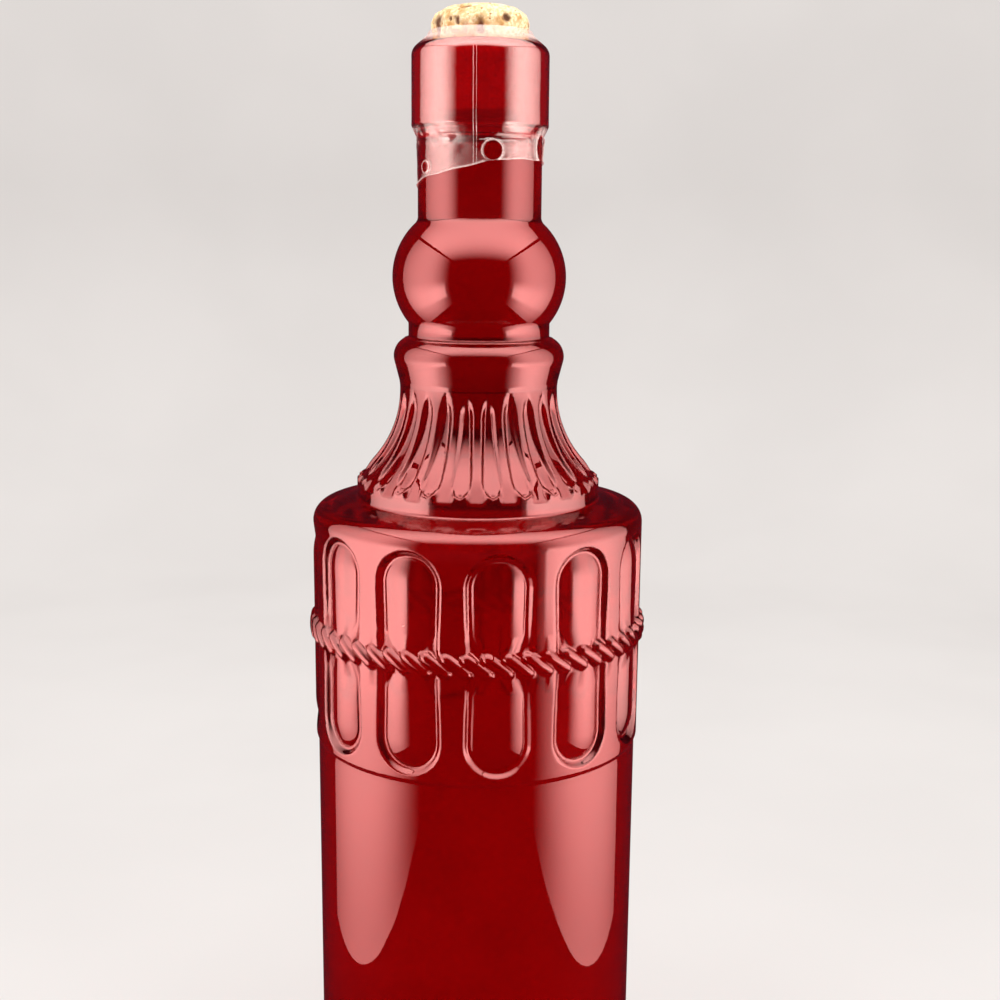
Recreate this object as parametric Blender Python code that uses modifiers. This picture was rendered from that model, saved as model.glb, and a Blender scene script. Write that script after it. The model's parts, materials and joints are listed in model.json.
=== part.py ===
"""A decorative ruby glass bottle, filled and corked, with a clear shrink film round its neck.

Metres, +Z up. The origin is the middle of the base, on the surface that the bottle stands on, and -Y
is the front. Angles are in degrees round the bottle's axis, from the front (-Y) towards the right (+X).
"""

import math

import bmesh
import bpy

MM = 0.001
GAP = 0.3 * MM  # between pieces that touch
MERGE_DISTANCE = 0.01 * MM
SHARP_ANGLE = 32.0

# Heights above the base
LIP_Z = 300.0 * MM
COLLAR_BOTTOM_Z = 282.6 * MM
BULB_Z = 250.6 * MM
LEDGE_Z = 237.6 * MM
BEAD_Z = 233.3 * MM
WAIST_Z = 226.1 * MM
FLUTE_TOP_Z = 225.6 * MM
FLUTE_END_Z = 205.3 * MM
CONE_FOOT_Z = 201.5 * MM
BAND_TOP_Z = 196.5 * MM
ROPE_Z = 172.5 * MM
BAND_BOTTOM_Z = 146.6 * MM
HEEL_Z = 5.2 * MM
DRINK_LEVEL_Z = 278.7 * MM
CORK_TOP_Z = 307.7 * MM
CORK_BOTTOM_Z = 285.6 * MM

# Outer radii
COLLAR_RADIUS = 14.75 * MM
NECK_RADIUS = 13.55 * MM
BULB_CENTRE_RADIUS = 3.2 * MM
BULB_ARC = 16.0 * MM
BULB_STEPS = 7
STEM_RADIUS = 15.7 * MM
BEAD_RADIUS = 19.0 * MM
WAIST_RADIUS = 17.6 * MM
FLARE_ARC = 24.0 * MM
CONE_FOOT_RADIUS = 27.35 * MM
BAND_RADIUS = 37.35 * MM
BODY_RADIUS = 36.85 * MM
SHOULDER_ARC = 3.9 * MM
LIP_ARC = 2.6 * MM
LIP_STEPS = 4
COLLAR_CHAMFER = 0.5 * MM
NECK_FOOT_FILLET = 0.25 * MM

# The bead over the cone, as radius and height: up to its widest ring, and from there in to the stem
BEAD_UNDERSIDE = [(18.1 * MM, 229.3 * MM), (18.8 * MM, 231.6 * MM), (BEAD_RADIUS, BEAD_Z)]
BEAD_TOP = [(18.5 * MM, 235.7 * MM), (17.2 * MM, LEDGE_Z - 0.1 * MM), (STEM_RADIUS, LEDGE_Z)]

# Flutes
FLUTES = 24
FLUTE_PHASE = 6.8
FLUTE_HALF_WIDTH = 5.3
FLUTE_DEPTH = 0.8 * MM
FLUTE_FADE = 9.0 * MM
FLUTE_ROUND_END = 1.2 * MM
FLUTE_ROWS = [FLUTE_END_Z, 206.4 * MM, 209.0 * MM, 213.5 * MM, 218.5 * MM, FLUTE_TOP_Z]
FOOT_RING_DEPTH = 0.8 * MM  # from the flutes' ends down to the cone's plain foot ring
FOOT_FILLET = 0.5 * MM
SHOULDER_RISE = 0.25 * MM  # of the shoulder's last stretch, up to the cone's foot

# Panels: a moat round a raised boss, both with round ends
PANELS = 12
PANEL_PHASE = 6.9
PANEL_Z = 172.1 * MM
PANEL_HALF_HEIGHT = 24.4 * MM
MOAT_HALF_WIDTH = 7.6 * MM
BOSS_HALF_WIDTH = 5.9 * MM
BOSS_CROWN = 0.1 * MM
BOSS_ARC = 10.5 * MM
MOAT_TIP_HALF_WIDTH = 3.6 * MM
BOSS_TIP_HALF_WIDTH = 2.4 * MM
BOSS_INNER_SHARE = 0.55
PANEL_TIP_ROW = 4.2 * MM

# Rope ring
STRANDS = 54
ROPE_HALF_HEIGHT = 3.05 * MM
ROPE_RISE = 1.3 * MM
ROPE_ROW_SHARES = (-0.65, 0.0, 0.65)
STRAND_GROOVE = 0.6 * MM
STRAND_ANGLE = 43.0

# Columns of points round the bottle, where nothing else sets them
PLAIN_COLUMNS = 36
SHOULDER_COLUMNS = 54
CAVITY_COLUMNS = 28
FILM_COLUMNS = 24

# The inside of the glass, from the mouth to the floor: radius and height
CAVITY = [
    (10.3 * MM, 299.3 * MM),
    (9.9 * MM, 296.5 * MM),
    (9.6 * MM, 290.0 * MM),
    (9.6 * MM, 264.5 * MM),
    (12.5 * MM, 260.5 * MM),
    (15.4 * MM, 254.8 * MM),
    (15.4 * MM, 246.6 * MM),
    (12.0 * MM, 240.2 * MM),
    (14.4 * MM, 232.5 * MM),
    (14.2 * MM, 225.5 * MM),
    (15.4 * MM, 218.5 * MM),
    (18.6 * MM, 212.0 * MM),
    (23.6 * MM, 203.6 * MM),
    (27.2 * MM, 198.2 * MM),
    (32.2 * MM, 195.4 * MM),
    (33.9 * MM, 189.0 * MM),
    (33.9 * MM, 17.0 * MM),
    (32.0 * MM, 11.6 * MM),
    (27.0 * MM, 9.4 * MM),
]
FLOOR_Z = 8.6 * MM
MOUTH_RADIUS = CAVITY[0][0]
MOUTH_CHAMFER = 0.6 * MM
BORE = CAVITY[1:3]
BORE_RADIUS = CAVITY[3][0]
SHOULDER_INSIDE = (27.2 * MM, 32.2 * MM)  # radii between which the inside of the shoulder slopes gently

# Base
CONTACT_INNER_RADIUS = 26.5 * MM
PUSH_UP = 4.0 * MM
PUSH_UP_RING_RADIUS = 12.0 * MM
PUSH_UP_RING_Z = 3.2 * MM
HEEL_STEPS = 3
BAND_STEP = 0.5 * MM

# Cork
CORK_RADIUS = 10.8 * MM
CORK_EDGE = 0.9 * MM
CORK_SWELL_Z = LIP_Z + 2.2 * MM
CORK_MOUTH_GAP = 0.4 * MM
CORK_TAPER = 0.1 * MM

# Shrink film
FILM_THICKNESS = 0.25 * MM
FILM_NECK_GAP = 0.36 * MM
FILM_LIP_GAP = 0.33 * MM
FILM_CORK_GAP = 0.42 * MM
FILM_BRIDGE = [(-0.2 * MM, -0.3 * MM), (0.0, 0.5 * MM)]  # radius over the collar's, height over its bottom
FILM_BRIDGE_DROP = 1.1 * MM
FILM_LIP_STEPS = 3
FILM_TOP_Z = 302.2 * MM
FILM_EDGE_Z = 272.65 * MM
FILM_EDGE_RISE_RIGHT = 2.45 * MM
FILM_EDGE_RISE_FRONT = 1.85 * MM
VENTS = 5
VENT_PHASE = 13.0
VENT_RADIUS = 2.2 * MM
VENT_ABOVE_EDGE = 2.9 * MM
VENT_ROD_LENGTH = 3.0 * MM
VENT_ROD_RADIUS = NECK_RADIUS + 0.5 * MM  # from the axis to the middle of the rod
VENT_SIDES = 10


def clear_scene():
    for obj in list(bpy.data.objects):
        bpy.data.objects.remove(obj, do_unlink=True)


def new_collection(name):
    collection = bpy.data.collections.new(name)
    bpy.context.scene.collection.children.link(collection)
    return collection


def new_material(name, colour, roughness, transmission=0.0):
    material = bpy.data.materials.new(name)
    material.use_nodes = True
    shader = material.node_tree.nodes["Principled BSDF"]
    shader.inputs["Base Color"].default_value = (*colour, 1.0)
    shader.inputs["Roughness"].default_value = roughness
    shader.inputs["Metallic"].default_value = 0.0
    shader.inputs["Transmission Weight"].default_value = transmission
    material.diffuse_color = (*colour, 1.0)
    return material


def place(angle, radius, z):
    """The point at this angle round the axis."""
    turn = math.radians(angle)
    return (radius * math.sin(turn), -radius * math.cos(turn), z)


def even_angles(count, phase=0.0):
    return [phase + 360.0 * column / count for column in range(count)]


def arc(centre_radius, centre_z, radius, start, end, steps):
    """Points (radius, z) on a circle of the profile, its angles measured up from the outward direction."""
    points = []
    for step in range(steps + 1):
        angle = math.radians(start + (end - start) * step / steps)
        points.append((centre_radius + radius * math.cos(angle), centre_z + radius * math.sin(angle)))
    return points


def ease(value):
    """Rises smoothly from 0 to 1 as value does."""
    value = min(max(value, 0.0), 1.0)
    return value * value * (3.0 - 2.0 * value)


class Loft:
    """A surface carried from one ring of points to the next, where the rings may differ in their columns."""

    def __init__(self):
        self.mesh = bmesh.new()
        self.last = None

    def ring(self, points_by_angle):
        """Adds a ring, given as (angle, radius, z) for each of its columns, and joins it to the last one."""
        new = [(angle, self.mesh.verts.new(place(angle, radius, z))) for angle, radius, z in points_by_angle]
        if self.last is not None:
            self.stitch(self.last, new)
        self.last = new

    def turned(self, profile, angles):
        """Adds a ring of these angles for each (radius, z) of the profile."""
        for radius, z in profile:
            self.ring([(angle, radius, z) for angle in angles])

    def stitch(self, first, second):
        """Fills the strip between two rings, each step taking the column that lies nearer round the axis."""
        offsets = [(angle - first[0][0] + 180.0) % 360.0 - 180.0 for angle, _ in second]
        start = min(range(len(second)), key=lambda k: abs(offsets[k]))
        if len(first) == len(second):
            self.stitch_square(first, second[start:] + second[:start])
            return
        ahead_a = self.travel(first, 0)
        ahead_b = [offsets[start] + angle for angle in self.travel(second, start)]
        i = 0
        j = 0
        while i < len(first) or j < len(second):
            here_a = first[i % len(first)][1]
            here_b = second[(start + j) % len(second)][1]
            if j == len(second) or (i < len(first) and ahead_a[i + 1] <= ahead_b[j + 1]):
                i += 1
                self.mesh.faces.new((here_a, first[i % len(first)][1], here_b))
            else:
                j += 1
                self.mesh.faces.new((here_a, second[(start + j) % len(second)][1], here_b))

    def stitch_square(self, first, second):
        """Fills the strip between two rings with the same number of columns, one four-sided face each."""
        for k, (_, here) in enumerate(first):
            following = (k + 1) % len(first)
            self.mesh.faces.new((here, first[following][1], second[following][1], second[k][1]))

    @staticmethod
    def travel(ring, start):
        """How far round the axis each column lies past column start, once round."""
        angles = [ring[(start + k) % len(ring)][0] for k in range(len(ring))]
        return [(angle - angles[0]) % 360.0 for angle in angles] + [360.0]

    def close(self, z):
        """Closes the last ring with a point on the axis."""
        tip = self.mesh.verts.new((0.0, 0.0, z))
        for (_, here), (_, following) in zip(self.last, self.last[1:] + self.last[:1]):
            self.mesh.faces.new((here, following, tip))

    def open_with(self, z, ring):
        """Starts with a point on the axis and a first ring round it."""
        self.ring(ring)
        tip = self.mesh.verts.new((0.0, 0.0, z))
        for (_, here), (_, following) in zip(self.last, self.last[1:] + self.last[:1]):
            self.mesh.faces.new((tip, following, here))

    def to_object(self, name, collection, material):
        bmesh.ops.recalc_face_normals(self.mesh, faces=self.mesh.faces)
        data = bpy.data.meshes.new(name)
        self.mesh.to_mesh(data)
        self.mesh.free()
        return add_object(name, data, collection, material)


def add_object(name, data, collection, material):
    data.materials.append(material)
    data.shade_smooth()
    data.set_sharp_from_angle(angle=math.radians(SHARP_ANGLE))
    obj = bpy.data.objects.new(name, data)
    collection.objects.link(obj)
    return obj


# ---- glass bottle ----------------------------------------------------------------------------


def flute_depth(z):
    """Depth of a flute at this height: it fades out to a point at its top and ends round at its foot."""
    fade_in = ease((FLUTE_TOP_Z - z) / FLUTE_FADE)
    return FLUTE_DEPTH * fade_in * ease((z - FLUTE_END_Z) / FLUTE_ROUND_END)


def fluted_ring(radius, z):
    """A ring with three columns a flute: the two edges of the groove and its bottom."""
    ring = []
    for flute in range(FLUTES):
        centre = FLUTE_PHASE + 360.0 * flute / FLUTES
        ring.append((centre - FLUTE_HALF_WIDTH, radius, z))
        ring.append((centre, radius - flute_depth(z), z))
        ring.append((centre + FLUTE_HALF_WIDTH, radius, z))
    return ring


def flare_radius(z):
    """The cone between the waist and its foot is one arc, tangent to the vertical at the waist."""
    return WAIST_RADIUS + FLARE_ARC - math.sqrt(FLARE_ARC**2 - (WAIST_Z - z) ** 2)


def panel_relief(across, along):
    """Height of the band's surface over its plain radius, at this distance from a panel's middle."""
    straight = PANEL_HALF_HEIGHT - MOAT_HALF_WIDTH
    out = math.hypot(across, max(abs(along) - straight, 0.0))
    bend = 1.0 / BOSS_ARC - 1.0 / BAND_RADIUS
    if out < BOSS_HALF_WIDTH:
        return BOSS_CROWN - bend * out**2 / 2.0
    moat_floor = BOSS_CROWN - bend * BOSS_HALF_WIDTH**2 / 2.0
    return moat_floor * (1.0 - ease((out - BOSS_HALF_WIDTH) / (MOAT_HALF_WIDTH - BOSS_HALF_WIDTH)))


def panelled_ring(z):
    """A ring with eight columns a panel, which draw together where the panel's ends are round."""
    past_straight = max(abs(z - PANEL_Z) - PANEL_HALF_HEIGHT + MOAT_HALF_WIDTH, 0.0)
    moat_edge = max(math.sqrt(max(MOAT_HALF_WIDTH**2 - past_straight**2, 0.0)), MOAT_TIP_HALF_WIDTH)
    boss_edge = max(math.sqrt(max(BOSS_HALF_WIDTH**2 - past_straight**2, 0.0)), BOSS_TIP_HALF_WIDTH)
    half_pitch = math.pi * BAND_RADIUS / PANELS
    inside = BOSS_INNER_SHARE * boss_edge
    columns = [-half_pitch, -moat_edge, -boss_edge, -inside, 0.0, inside, boss_edge, moat_edge]
    ring = []
    for panel in range(PANELS):
        for across in columns:
            angle = PANEL_PHASE + 360.0 * panel / PANELS + math.degrees(across / BAND_RADIUS)
            ring.append((angle, BAND_RADIUS + panel_relief(across, z - PANEL_Z), z))
    return ring


def rope_ring(above_middle):
    """A ring along the rope, its columns alternately on a strand's crest and in the groove beside it."""
    swell = math.sqrt(1.0 - (above_middle / ROPE_HALF_HEIGHT) ** 2)
    crest = BAND_RADIUS + ROPE_RISE * swell
    lean = -math.degrees(above_middle / math.tan(math.radians(STRAND_ANGLE)) / crest)
    ring = []
    for strand in range(STRANDS):
        angle = lean + 360.0 * strand / STRANDS
        ring.append((angle, crest, ROPE_Z + above_middle))
        ring.append((angle + 180.0 / STRANDS, crest - STRAND_GROOVE * swell, ROPE_Z + above_middle))
    return ring


def add_base(loft):
    """Underside with its shallow push-up, the flat ring it stands on, the heel and the plain body."""
    plain = even_angles(PLAIN_COLUMNS)
    loft.open_with(PUSH_UP, [(angle, PUSH_UP_RING_RADIUS, PUSH_UP_RING_Z) for angle in plain])
    heel = arc(BODY_RADIUS - HEEL_Z, HEEL_Z, HEEL_Z, -90.0, 0.0, HEEL_STEPS)
    loft.turned([(CONTACT_INNER_RADIUS, 0.0)] + heel, plain)
    loft.turned([(BODY_RADIUS, BAND_BOTTOM_Z - BAND_STEP)], plain)


def add_band(loft):
    """The raised band with its panels and the rope round its middle."""
    straight = PANEL_HALF_HEIGHT - MOAT_HALF_WIDTH
    ends = [straight, straight + PANEL_TIP_ROW, straight + BOSS_HALF_WIDTH, PANEL_HALF_HEIGHT]
    for along in reversed(ends):
        loft.ring(panelled_ring(PANEL_Z - along))
    loft.ring(panelled_ring(ROPE_Z - ROPE_HALF_HEIGHT))
    for share in ROPE_ROW_SHARES:
        loft.ring(rope_ring(share * ROPE_HALF_HEIGHT))
    loft.ring(panelled_ring(ROPE_Z + ROPE_HALF_HEIGHT))
    for along in ends:
        loft.ring(panelled_ring(PANEL_Z + along))


def add_shoulder_and_cone(loft):
    """The flat shoulder with its round edge, the cone's plain foot ring and its flutes."""
    round_edge = arc(BAND_RADIUS - SHOULDER_ARC, BAND_TOP_Z, SHOULDER_ARC, 30.0, 78.0, 2)
    shoulder = [(CONE_FOOT_RADIUS + FOOT_FILLET, CONE_FOOT_Z - SHOULDER_RISE)]
    foot = [(CONE_FOOT_RADIUS, CONE_FOOT_Z + FOOT_FILLET), (CONE_FOOT_RADIUS, FLUTE_END_Z - FOOT_RING_DEPTH)]
    loft.turned(round_edge + shoulder + foot, even_angles(SHOULDER_COLUMNS))
    for z in FLUTE_ROWS:
        loft.ring(fluted_ring(min(flare_radius(z), CONE_FOOT_RADIUS - FOOT_FILLET), z))


def add_bead_and_bulb(loft):
    """The bead over the cone with the sharp ledge on its top, and the round bulb."""
    plain = even_angles(PLAIN_COLUMNS)
    loft.turned(BEAD_UNDERSIDE + BEAD_TOP, plain)
    foot_angle = math.degrees(math.acos((STEM_RADIUS - BULB_CENTRE_RADIUS) / BULB_ARC))
    top_angle = math.degrees(math.acos((NECK_RADIUS + NECK_FOOT_FILLET - BULB_CENTRE_RADIUS) / BULB_ARC))
    loft.turned(arc(BULB_CENTRE_RADIUS, BULB_Z, BULB_ARC, -foot_angle, top_angle, BULB_STEPS), plain)


def add_neck_and_lip(loft):
    """The straight neck, and the collar with its rounded lip."""
    neck = [(NECK_RADIUS, COLLAR_BOTTOM_Z - COLLAR_CHAMFER)]
    corner = [(COLLAR_RADIUS - COLLAR_CHAMFER, COLLAR_BOTTOM_Z)]
    corner.append((COLLAR_RADIUS, COLLAR_BOTTOM_Z + COLLAR_CHAMFER))
    lip = arc(COLLAR_RADIUS - LIP_ARC, LIP_Z - LIP_ARC, LIP_ARC, 0.0, 90.0, LIP_STEPS)
    mouth = [(MOUTH_RADIUS + MOUTH_CHAMFER, LIP_Z)]
    loft.turned(neck + corner + lip + mouth, even_angles(PLAIN_COLUMNS))


def add_glass_bottle(collection):
    loft = Loft()
    add_base(loft)
    add_band(loft)
    add_shoulder_and_cone(loft)
    add_bead_and_bulb(loft)
    add_neck_and_lip(loft)
    loft.turned(CAVITY, even_angles(CAVITY_COLUMNS))
    loft.close(FLOOR_Z)
    loft.to_object("glass_bottle", collection, new_material("ruby_glass", (0.42, 0.0, 0.01), 0.03, 0.9))


# ---- drink and cork --------------------------------------------------------------------------


def turn(name, profile, steps, collection, material):
    """A solid of revolution: the (radius, z) profile runs from the axis on top, down the outer side."""
    data = bpy.data.meshes.new(name)
    edges = [(k, k + 1) for k in range(len(profile) - 1)]
    data.from_pydata([(radius, 0.0, z) for radius, z in profile], edges, [])
    obj = add_object(name, data, collection, material)
    screw = obj.modifiers.new("turn", "SCREW")
    screw.axis = "Z"
    screw.steps = steps
    screw.render_steps = steps
    screw.use_merge_vertices = True
    screw.merge_threshold = MERGE_DISTANCE
    screw.use_smooth_shade = True
    return obj


def drink_point(radius, z):
    """A point of the cavity moved in by the gap, and down by it too where the shoulder is nearly level."""
    under_shoulder = SHOULDER_INSIDE[0] <= radius <= SHOULDER_INSIDE[1] and z > BAND_BOTTOM_Z
    return (radius - GAP, z - GAP if under_shoulder else z)


def add_drink(collection):
    """The drink fills the cavity up to its level in the neck."""
    sides = [drink_point(radius, z) for radius, z in CAVITY if z < DRINK_LEVEL_Z]
    surface = [(0.0, DRINK_LEVEL_Z), (sides[0][0], DRINK_LEVEL_Z)]
    rim_radius, rim_z = sides.pop()
    floor = [(rim_radius, rim_z + GAP), (0.0, FLOOR_Z + GAP)]
    material = new_material("ruby_drink", (0.45, 0.01, 0.01), 0.05, 0.9)
    turn("drink", surface + sides + floor, CAVITY_COLUMNS, collection, material)


def add_cork(collection):
    """The cork swells where it leaves the mouth and narrows a little towards its lower end."""
    edge = CORK_EDGE
    profile = [(0.0, CORK_TOP_Z), (CORK_RADIUS - edge, CORK_TOP_Z), (CORK_RADIUS, CORK_TOP_Z - edge)]
    profile.append((CORK_RADIUS, CORK_SWELL_Z))
    profile.append((MOUTH_RADIUS - CORK_MOUTH_GAP, LIP_Z + CORK_MOUTH_GAP))
    profile += [(radius - GAP, z) for radius, z in BORE]
    lower_radius = BORE_RADIUS - GAP - CORK_TAPER
    profile.append((lower_radius, CORK_BOTTOM_Z + edge))
    profile.append((lower_radius - edge, CORK_BOTTOM_Z))
    profile.append((0.0, CORK_BOTTOM_Z))
    material = new_material("natural_cork", (0.72, 0.55, 0.34), 0.85)
    turn("cork", profile, CAVITY_COLUMNS, collection, material)


# ---- shrink film -----------------------------------------------------------------------------


def film_edge_z(angle):
    """Height of the film's lower edge, which was cut on a slant."""
    turned = math.radians(angle)
    return FILM_EDGE_Z + FILM_EDGE_RISE_RIGHT * math.sin(turned) + FILM_EDGE_RISE_FRONT * math.cos(turned)


def add_film(collection, cutters):
    """A thin sleeve over the cork's foot, the lip, the collar and the top of the neck, with vent holes."""
    angles = even_angles(FILM_COLUMNS)
    loft = Loft()
    neck_radius = NECK_RADIUS + FILM_NECK_GAP
    loft.ring([(angle, neck_radius, film_edge_z(angle)) for angle in angles])
    collar_radius = COLLAR_RADIUS + GAP
    loft.turned([(neck_radius, COLLAR_BOTTOM_Z - FILM_BRIDGE_DROP)], angles)
    loft.turned([(collar_radius + out, COLLAR_BOTTOM_Z + up) for out, up in FILM_BRIDGE], angles)
    lip = arc(COLLAR_RADIUS - LIP_ARC, LIP_Z - LIP_ARC, LIP_ARC + FILM_LIP_GAP, 0.0, 90.0, FILM_LIP_STEPS)
    foot = [(CORK_RADIUS + FILM_CORK_GAP, LIP_Z + FILM_LIP_GAP), (CORK_RADIUS + FILM_CORK_GAP, FILM_TOP_Z)]
    loft.turned(lip + foot, angles)
    material = new_material("clear_film", (0.93, 0.9, 0.9), 0.15, 0.95)
    film = loft.to_object("shrink_film", collection, material)
    wall = film.modifiers.new("wall", "SOLIDIFY")
    wall.thickness = FILM_THICKNESS
    wall.offset = 1.0
    wall.use_even_offset = True
    for vent in range(VENTS):
        angle = VENT_PHASE + 360.0 * vent / VENTS
        cutter = add_vent_cutter(angle, film_edge_z(angle) + VENT_ABOVE_EDGE, cutters)
        cut = film.modifiers.new(cutter.name, "BOOLEAN")
        cut.operation = "DIFFERENCE"
        cut.object = cutter


def add_vent_cutter(angle, z, cutters):
    """A short rod that stands out of the neck at this angle."""
    data = bpy.data.meshes.new("vent_cutter")
    rod = bmesh.new()
    bmesh.ops.create_cone(
        rod,
        cap_ends=True,
        segments=VENT_SIDES,
        radius1=VENT_RADIUS,
        radius2=VENT_RADIUS,
        depth=VENT_ROD_LENGTH,
    )
    rod.to_mesh(data)
    rod.free()
    cutter = bpy.data.objects.new("vent_cutter", data)
    cutter.location = place(angle, VENT_ROD_RADIUS, z)
    cutter.rotation_euler = (math.radians(90.0), 0.0, math.radians(angle))
    cutter.hide_render = True
    cutter.display_type = "WIRE"
    cutters.objects.link(cutter)
    return cutter


def main():
    clear_scene()
    parts = new_collection("decorative_glass_bottle")
    cutters = new_collection("cutters")
    add_glass_bottle(parts)
    add_drink(parts)
    add_cork(parts)
    add_film(parts, cutters)


main()
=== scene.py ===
# %% [markdown]
# # A decorative bottle of ruby glass
#
# The bottle is one piece of moulded glass: a plain body, a raised band with twelve sunk panels and a
# rope round its middle, a flat shoulder, a fluted cone, a round bulb and a straight neck. It is full of
# a red drink, shut with a natural cork, and sleeved with a clear film that was shrunk on with hot air.
#
# A plain faceted model already fixes where everything is and how large it is. We load it as a frame
# that never moves, and build the fine surface of each piece in its place.

# %% Load the frame
import json

import bpy
import numpy as np
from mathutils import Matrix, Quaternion, Vector

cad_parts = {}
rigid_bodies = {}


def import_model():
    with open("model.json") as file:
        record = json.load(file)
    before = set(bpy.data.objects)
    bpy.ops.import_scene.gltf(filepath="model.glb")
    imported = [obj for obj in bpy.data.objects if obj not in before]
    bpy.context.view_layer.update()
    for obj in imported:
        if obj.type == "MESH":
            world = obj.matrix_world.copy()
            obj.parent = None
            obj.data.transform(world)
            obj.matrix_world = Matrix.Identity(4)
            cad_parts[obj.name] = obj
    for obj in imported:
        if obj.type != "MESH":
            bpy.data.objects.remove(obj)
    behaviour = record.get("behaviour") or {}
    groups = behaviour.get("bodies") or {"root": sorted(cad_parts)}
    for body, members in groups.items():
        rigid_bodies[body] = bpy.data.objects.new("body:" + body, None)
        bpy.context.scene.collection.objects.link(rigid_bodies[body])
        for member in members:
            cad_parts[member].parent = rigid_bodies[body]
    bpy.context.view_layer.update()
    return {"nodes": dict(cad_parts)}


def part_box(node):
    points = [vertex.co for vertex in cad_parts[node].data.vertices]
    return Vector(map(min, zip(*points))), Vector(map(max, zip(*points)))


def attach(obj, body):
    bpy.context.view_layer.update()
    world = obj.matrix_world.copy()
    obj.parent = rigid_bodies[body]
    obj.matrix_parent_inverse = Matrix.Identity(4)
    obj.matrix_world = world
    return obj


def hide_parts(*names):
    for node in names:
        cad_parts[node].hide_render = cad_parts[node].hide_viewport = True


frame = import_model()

MM = 0.001
print("frame nodes:", sorted(frame["nodes"]))

# %% [markdown]
# ## The sizes that drive the shapes
#
# Everything below is worked out in millimetres and turned into metres only when a mesh is made, because
# a glass maker's drawing is in millimetres. Heights are over the surface that the bottle stands on, and
# radii are from its axis. Angles go round the axis from the front (-Y) towards the right (+X).

# %% Heights and radii of the bottle, in millimetres
LIP_Z = 300.0
COLLAR_BOTTOM_Z = 282.6
BULB_Z = 250.6
LEDGE_Z = 237.6
BEAD_Z = 233.3
WAIST_Z = 226.1
FLUTE_TOP_Z = 226.9
FLUTE_END_Z = 205.7
CONE_FOOT_Z = 201.5
BAND_TOP_Z = 196.5
ROPE_Z = 172.5
BAND_BOTTOM_Z = 146.5
HEEL_Z = 5.2
FLOOR_Z = 8.6

COLLAR_RADIUS = 14.75
NECK_RADIUS = 13.55
BORE_RADIUS = 9.6
BULB_CENTRE_RADIUS = 3.2
BULB_ARC = 16.0
STEM_RADIUS = 15.7
BEAD_RADIUS = 19.0
WAIST_RADIUS = 17.6
FLARE_ARC = 24.0
CONE_FOOT_RADIUS = 27.35
BAND_RADIUS = 37.35
BODY_RADIUS = 36.85
SHOULDER_ARC = 3.9
LIP_ARC = 2.6
BEAD_ARC = 4.4
CONTACT_RADIUS = 26.5
PUSH_UP = 4.0

print("the body is", 2.0 * BODY_RADIUS, "mm across, and the lip is at", LIP_Z, "mm")

# %% [markdown]
# ## Small tools for outlines
#
# A turned shape needs only its outline: a path of points (radius, height). Straight runs and arcs make
# most of it, so the main helpers here are an arc and a path whose corners are rounded with a fillet, the
# way a mould maker draws it. Others blend two curves where one grows out of the other, or rise softly
# from 0 to 1, which is how one surface is faded into the next all through this lesson.

# %% Soft steps


def smooth_step(value):
    """Rises from 0 to 1 as value does and is flat at both ends: 3 v^2 - 2 v^3, with v held between 0
    and 1."""
    value = np.clip(value, 0.0, 1.0)
    return value * value * (3.0 - 2.0 * value)


def rounded_ramp(value, rounding):
    """Rises from 0 to 1 as value does, at one even slope but for a rounding at each end, where the
    slope grows from 0: slope v^2 / (2 rounding), with slope = 1 / (1 - rounding)."""
    value = np.clip(value, 0.0, 1.0)
    slope = 1.0 / (1.0 - rounding)
    nearest_end = np.minimum(value, 1.0 - value)
    bend = np.maximum(rounding - nearest_end, 0.0) ** 2 / (2.0 * rounding)
    climb = slope * (nearest_end - rounding / 2.0 + bend)
    return np.where(value < 0.5, climb, 1.0 - climb)


print("a quarter of the way along, a smooth step has risen to", smooth_step(0.25))

# %% Arcs and rounded corners


def arc(centre_radius, centre_z, radius, start, end, steps):
    """Points on a circle of the outline: centre + radius * (cos a, sin a), for a from start to end
    degrees."""
    angle = np.radians(np.linspace(start, end, steps + 1))
    return np.column_stack([centre_radius + radius * np.cos(angle), centre_z + radius * np.sin(angle)])


def rounded(corners, steps=4):
    """A path through corners (radius, z, fillet). Each inner corner becomes the arc that touches
    both sides: its centre lies on the bisector, fillet / sin(half the corner's angle) away."""
    path = [np.array([corners[0][:2]])]
    for before, corner, after in zip(corners, corners[1:], corners[2:]):
        point = np.array(corner[:2])
        back = np.array(before[:2]) - point
        on = np.array(after[:2]) - point
        back = back / np.linalg.norm(back)
        on = on / np.linalg.norm(on)
        half = np.arccos(np.clip(back @ on, -1.0, 1.0)) / 2.0
        centre = point + (back + on) / np.linalg.norm(back + on) * corner[2] / np.sin(half)
        share = np.linspace(0.0, 1.0, steps + 1)[:, None]
        chord = point + (back * (1.0 - share) + on * share) * corner[2] / np.tan(half)
        away = chord - centre
        path.append(centre + away / np.linalg.norm(away, axis=1, keepdims=True) * corner[2])
    path.append(np.array([corners[-1][:2]]))
    return np.vstack(path)


print("a fillet of 1 mm on a square corner has", len(rounded([(0, 0, 0), (5, 0, 1), (5, 5, 0)])), "points")

# %% Curves that run into each other


def soft_minimum(first, second, blend):
    """The smaller of two values, rounded where they cross: min - max(blend - |difference|, 0)^2 / (4
    blend)."""
    overlap = np.maximum(blend - np.abs(first - second), 0.0)
    return np.minimum(first, second) - overlap**2 / (4.0 * blend)


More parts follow.
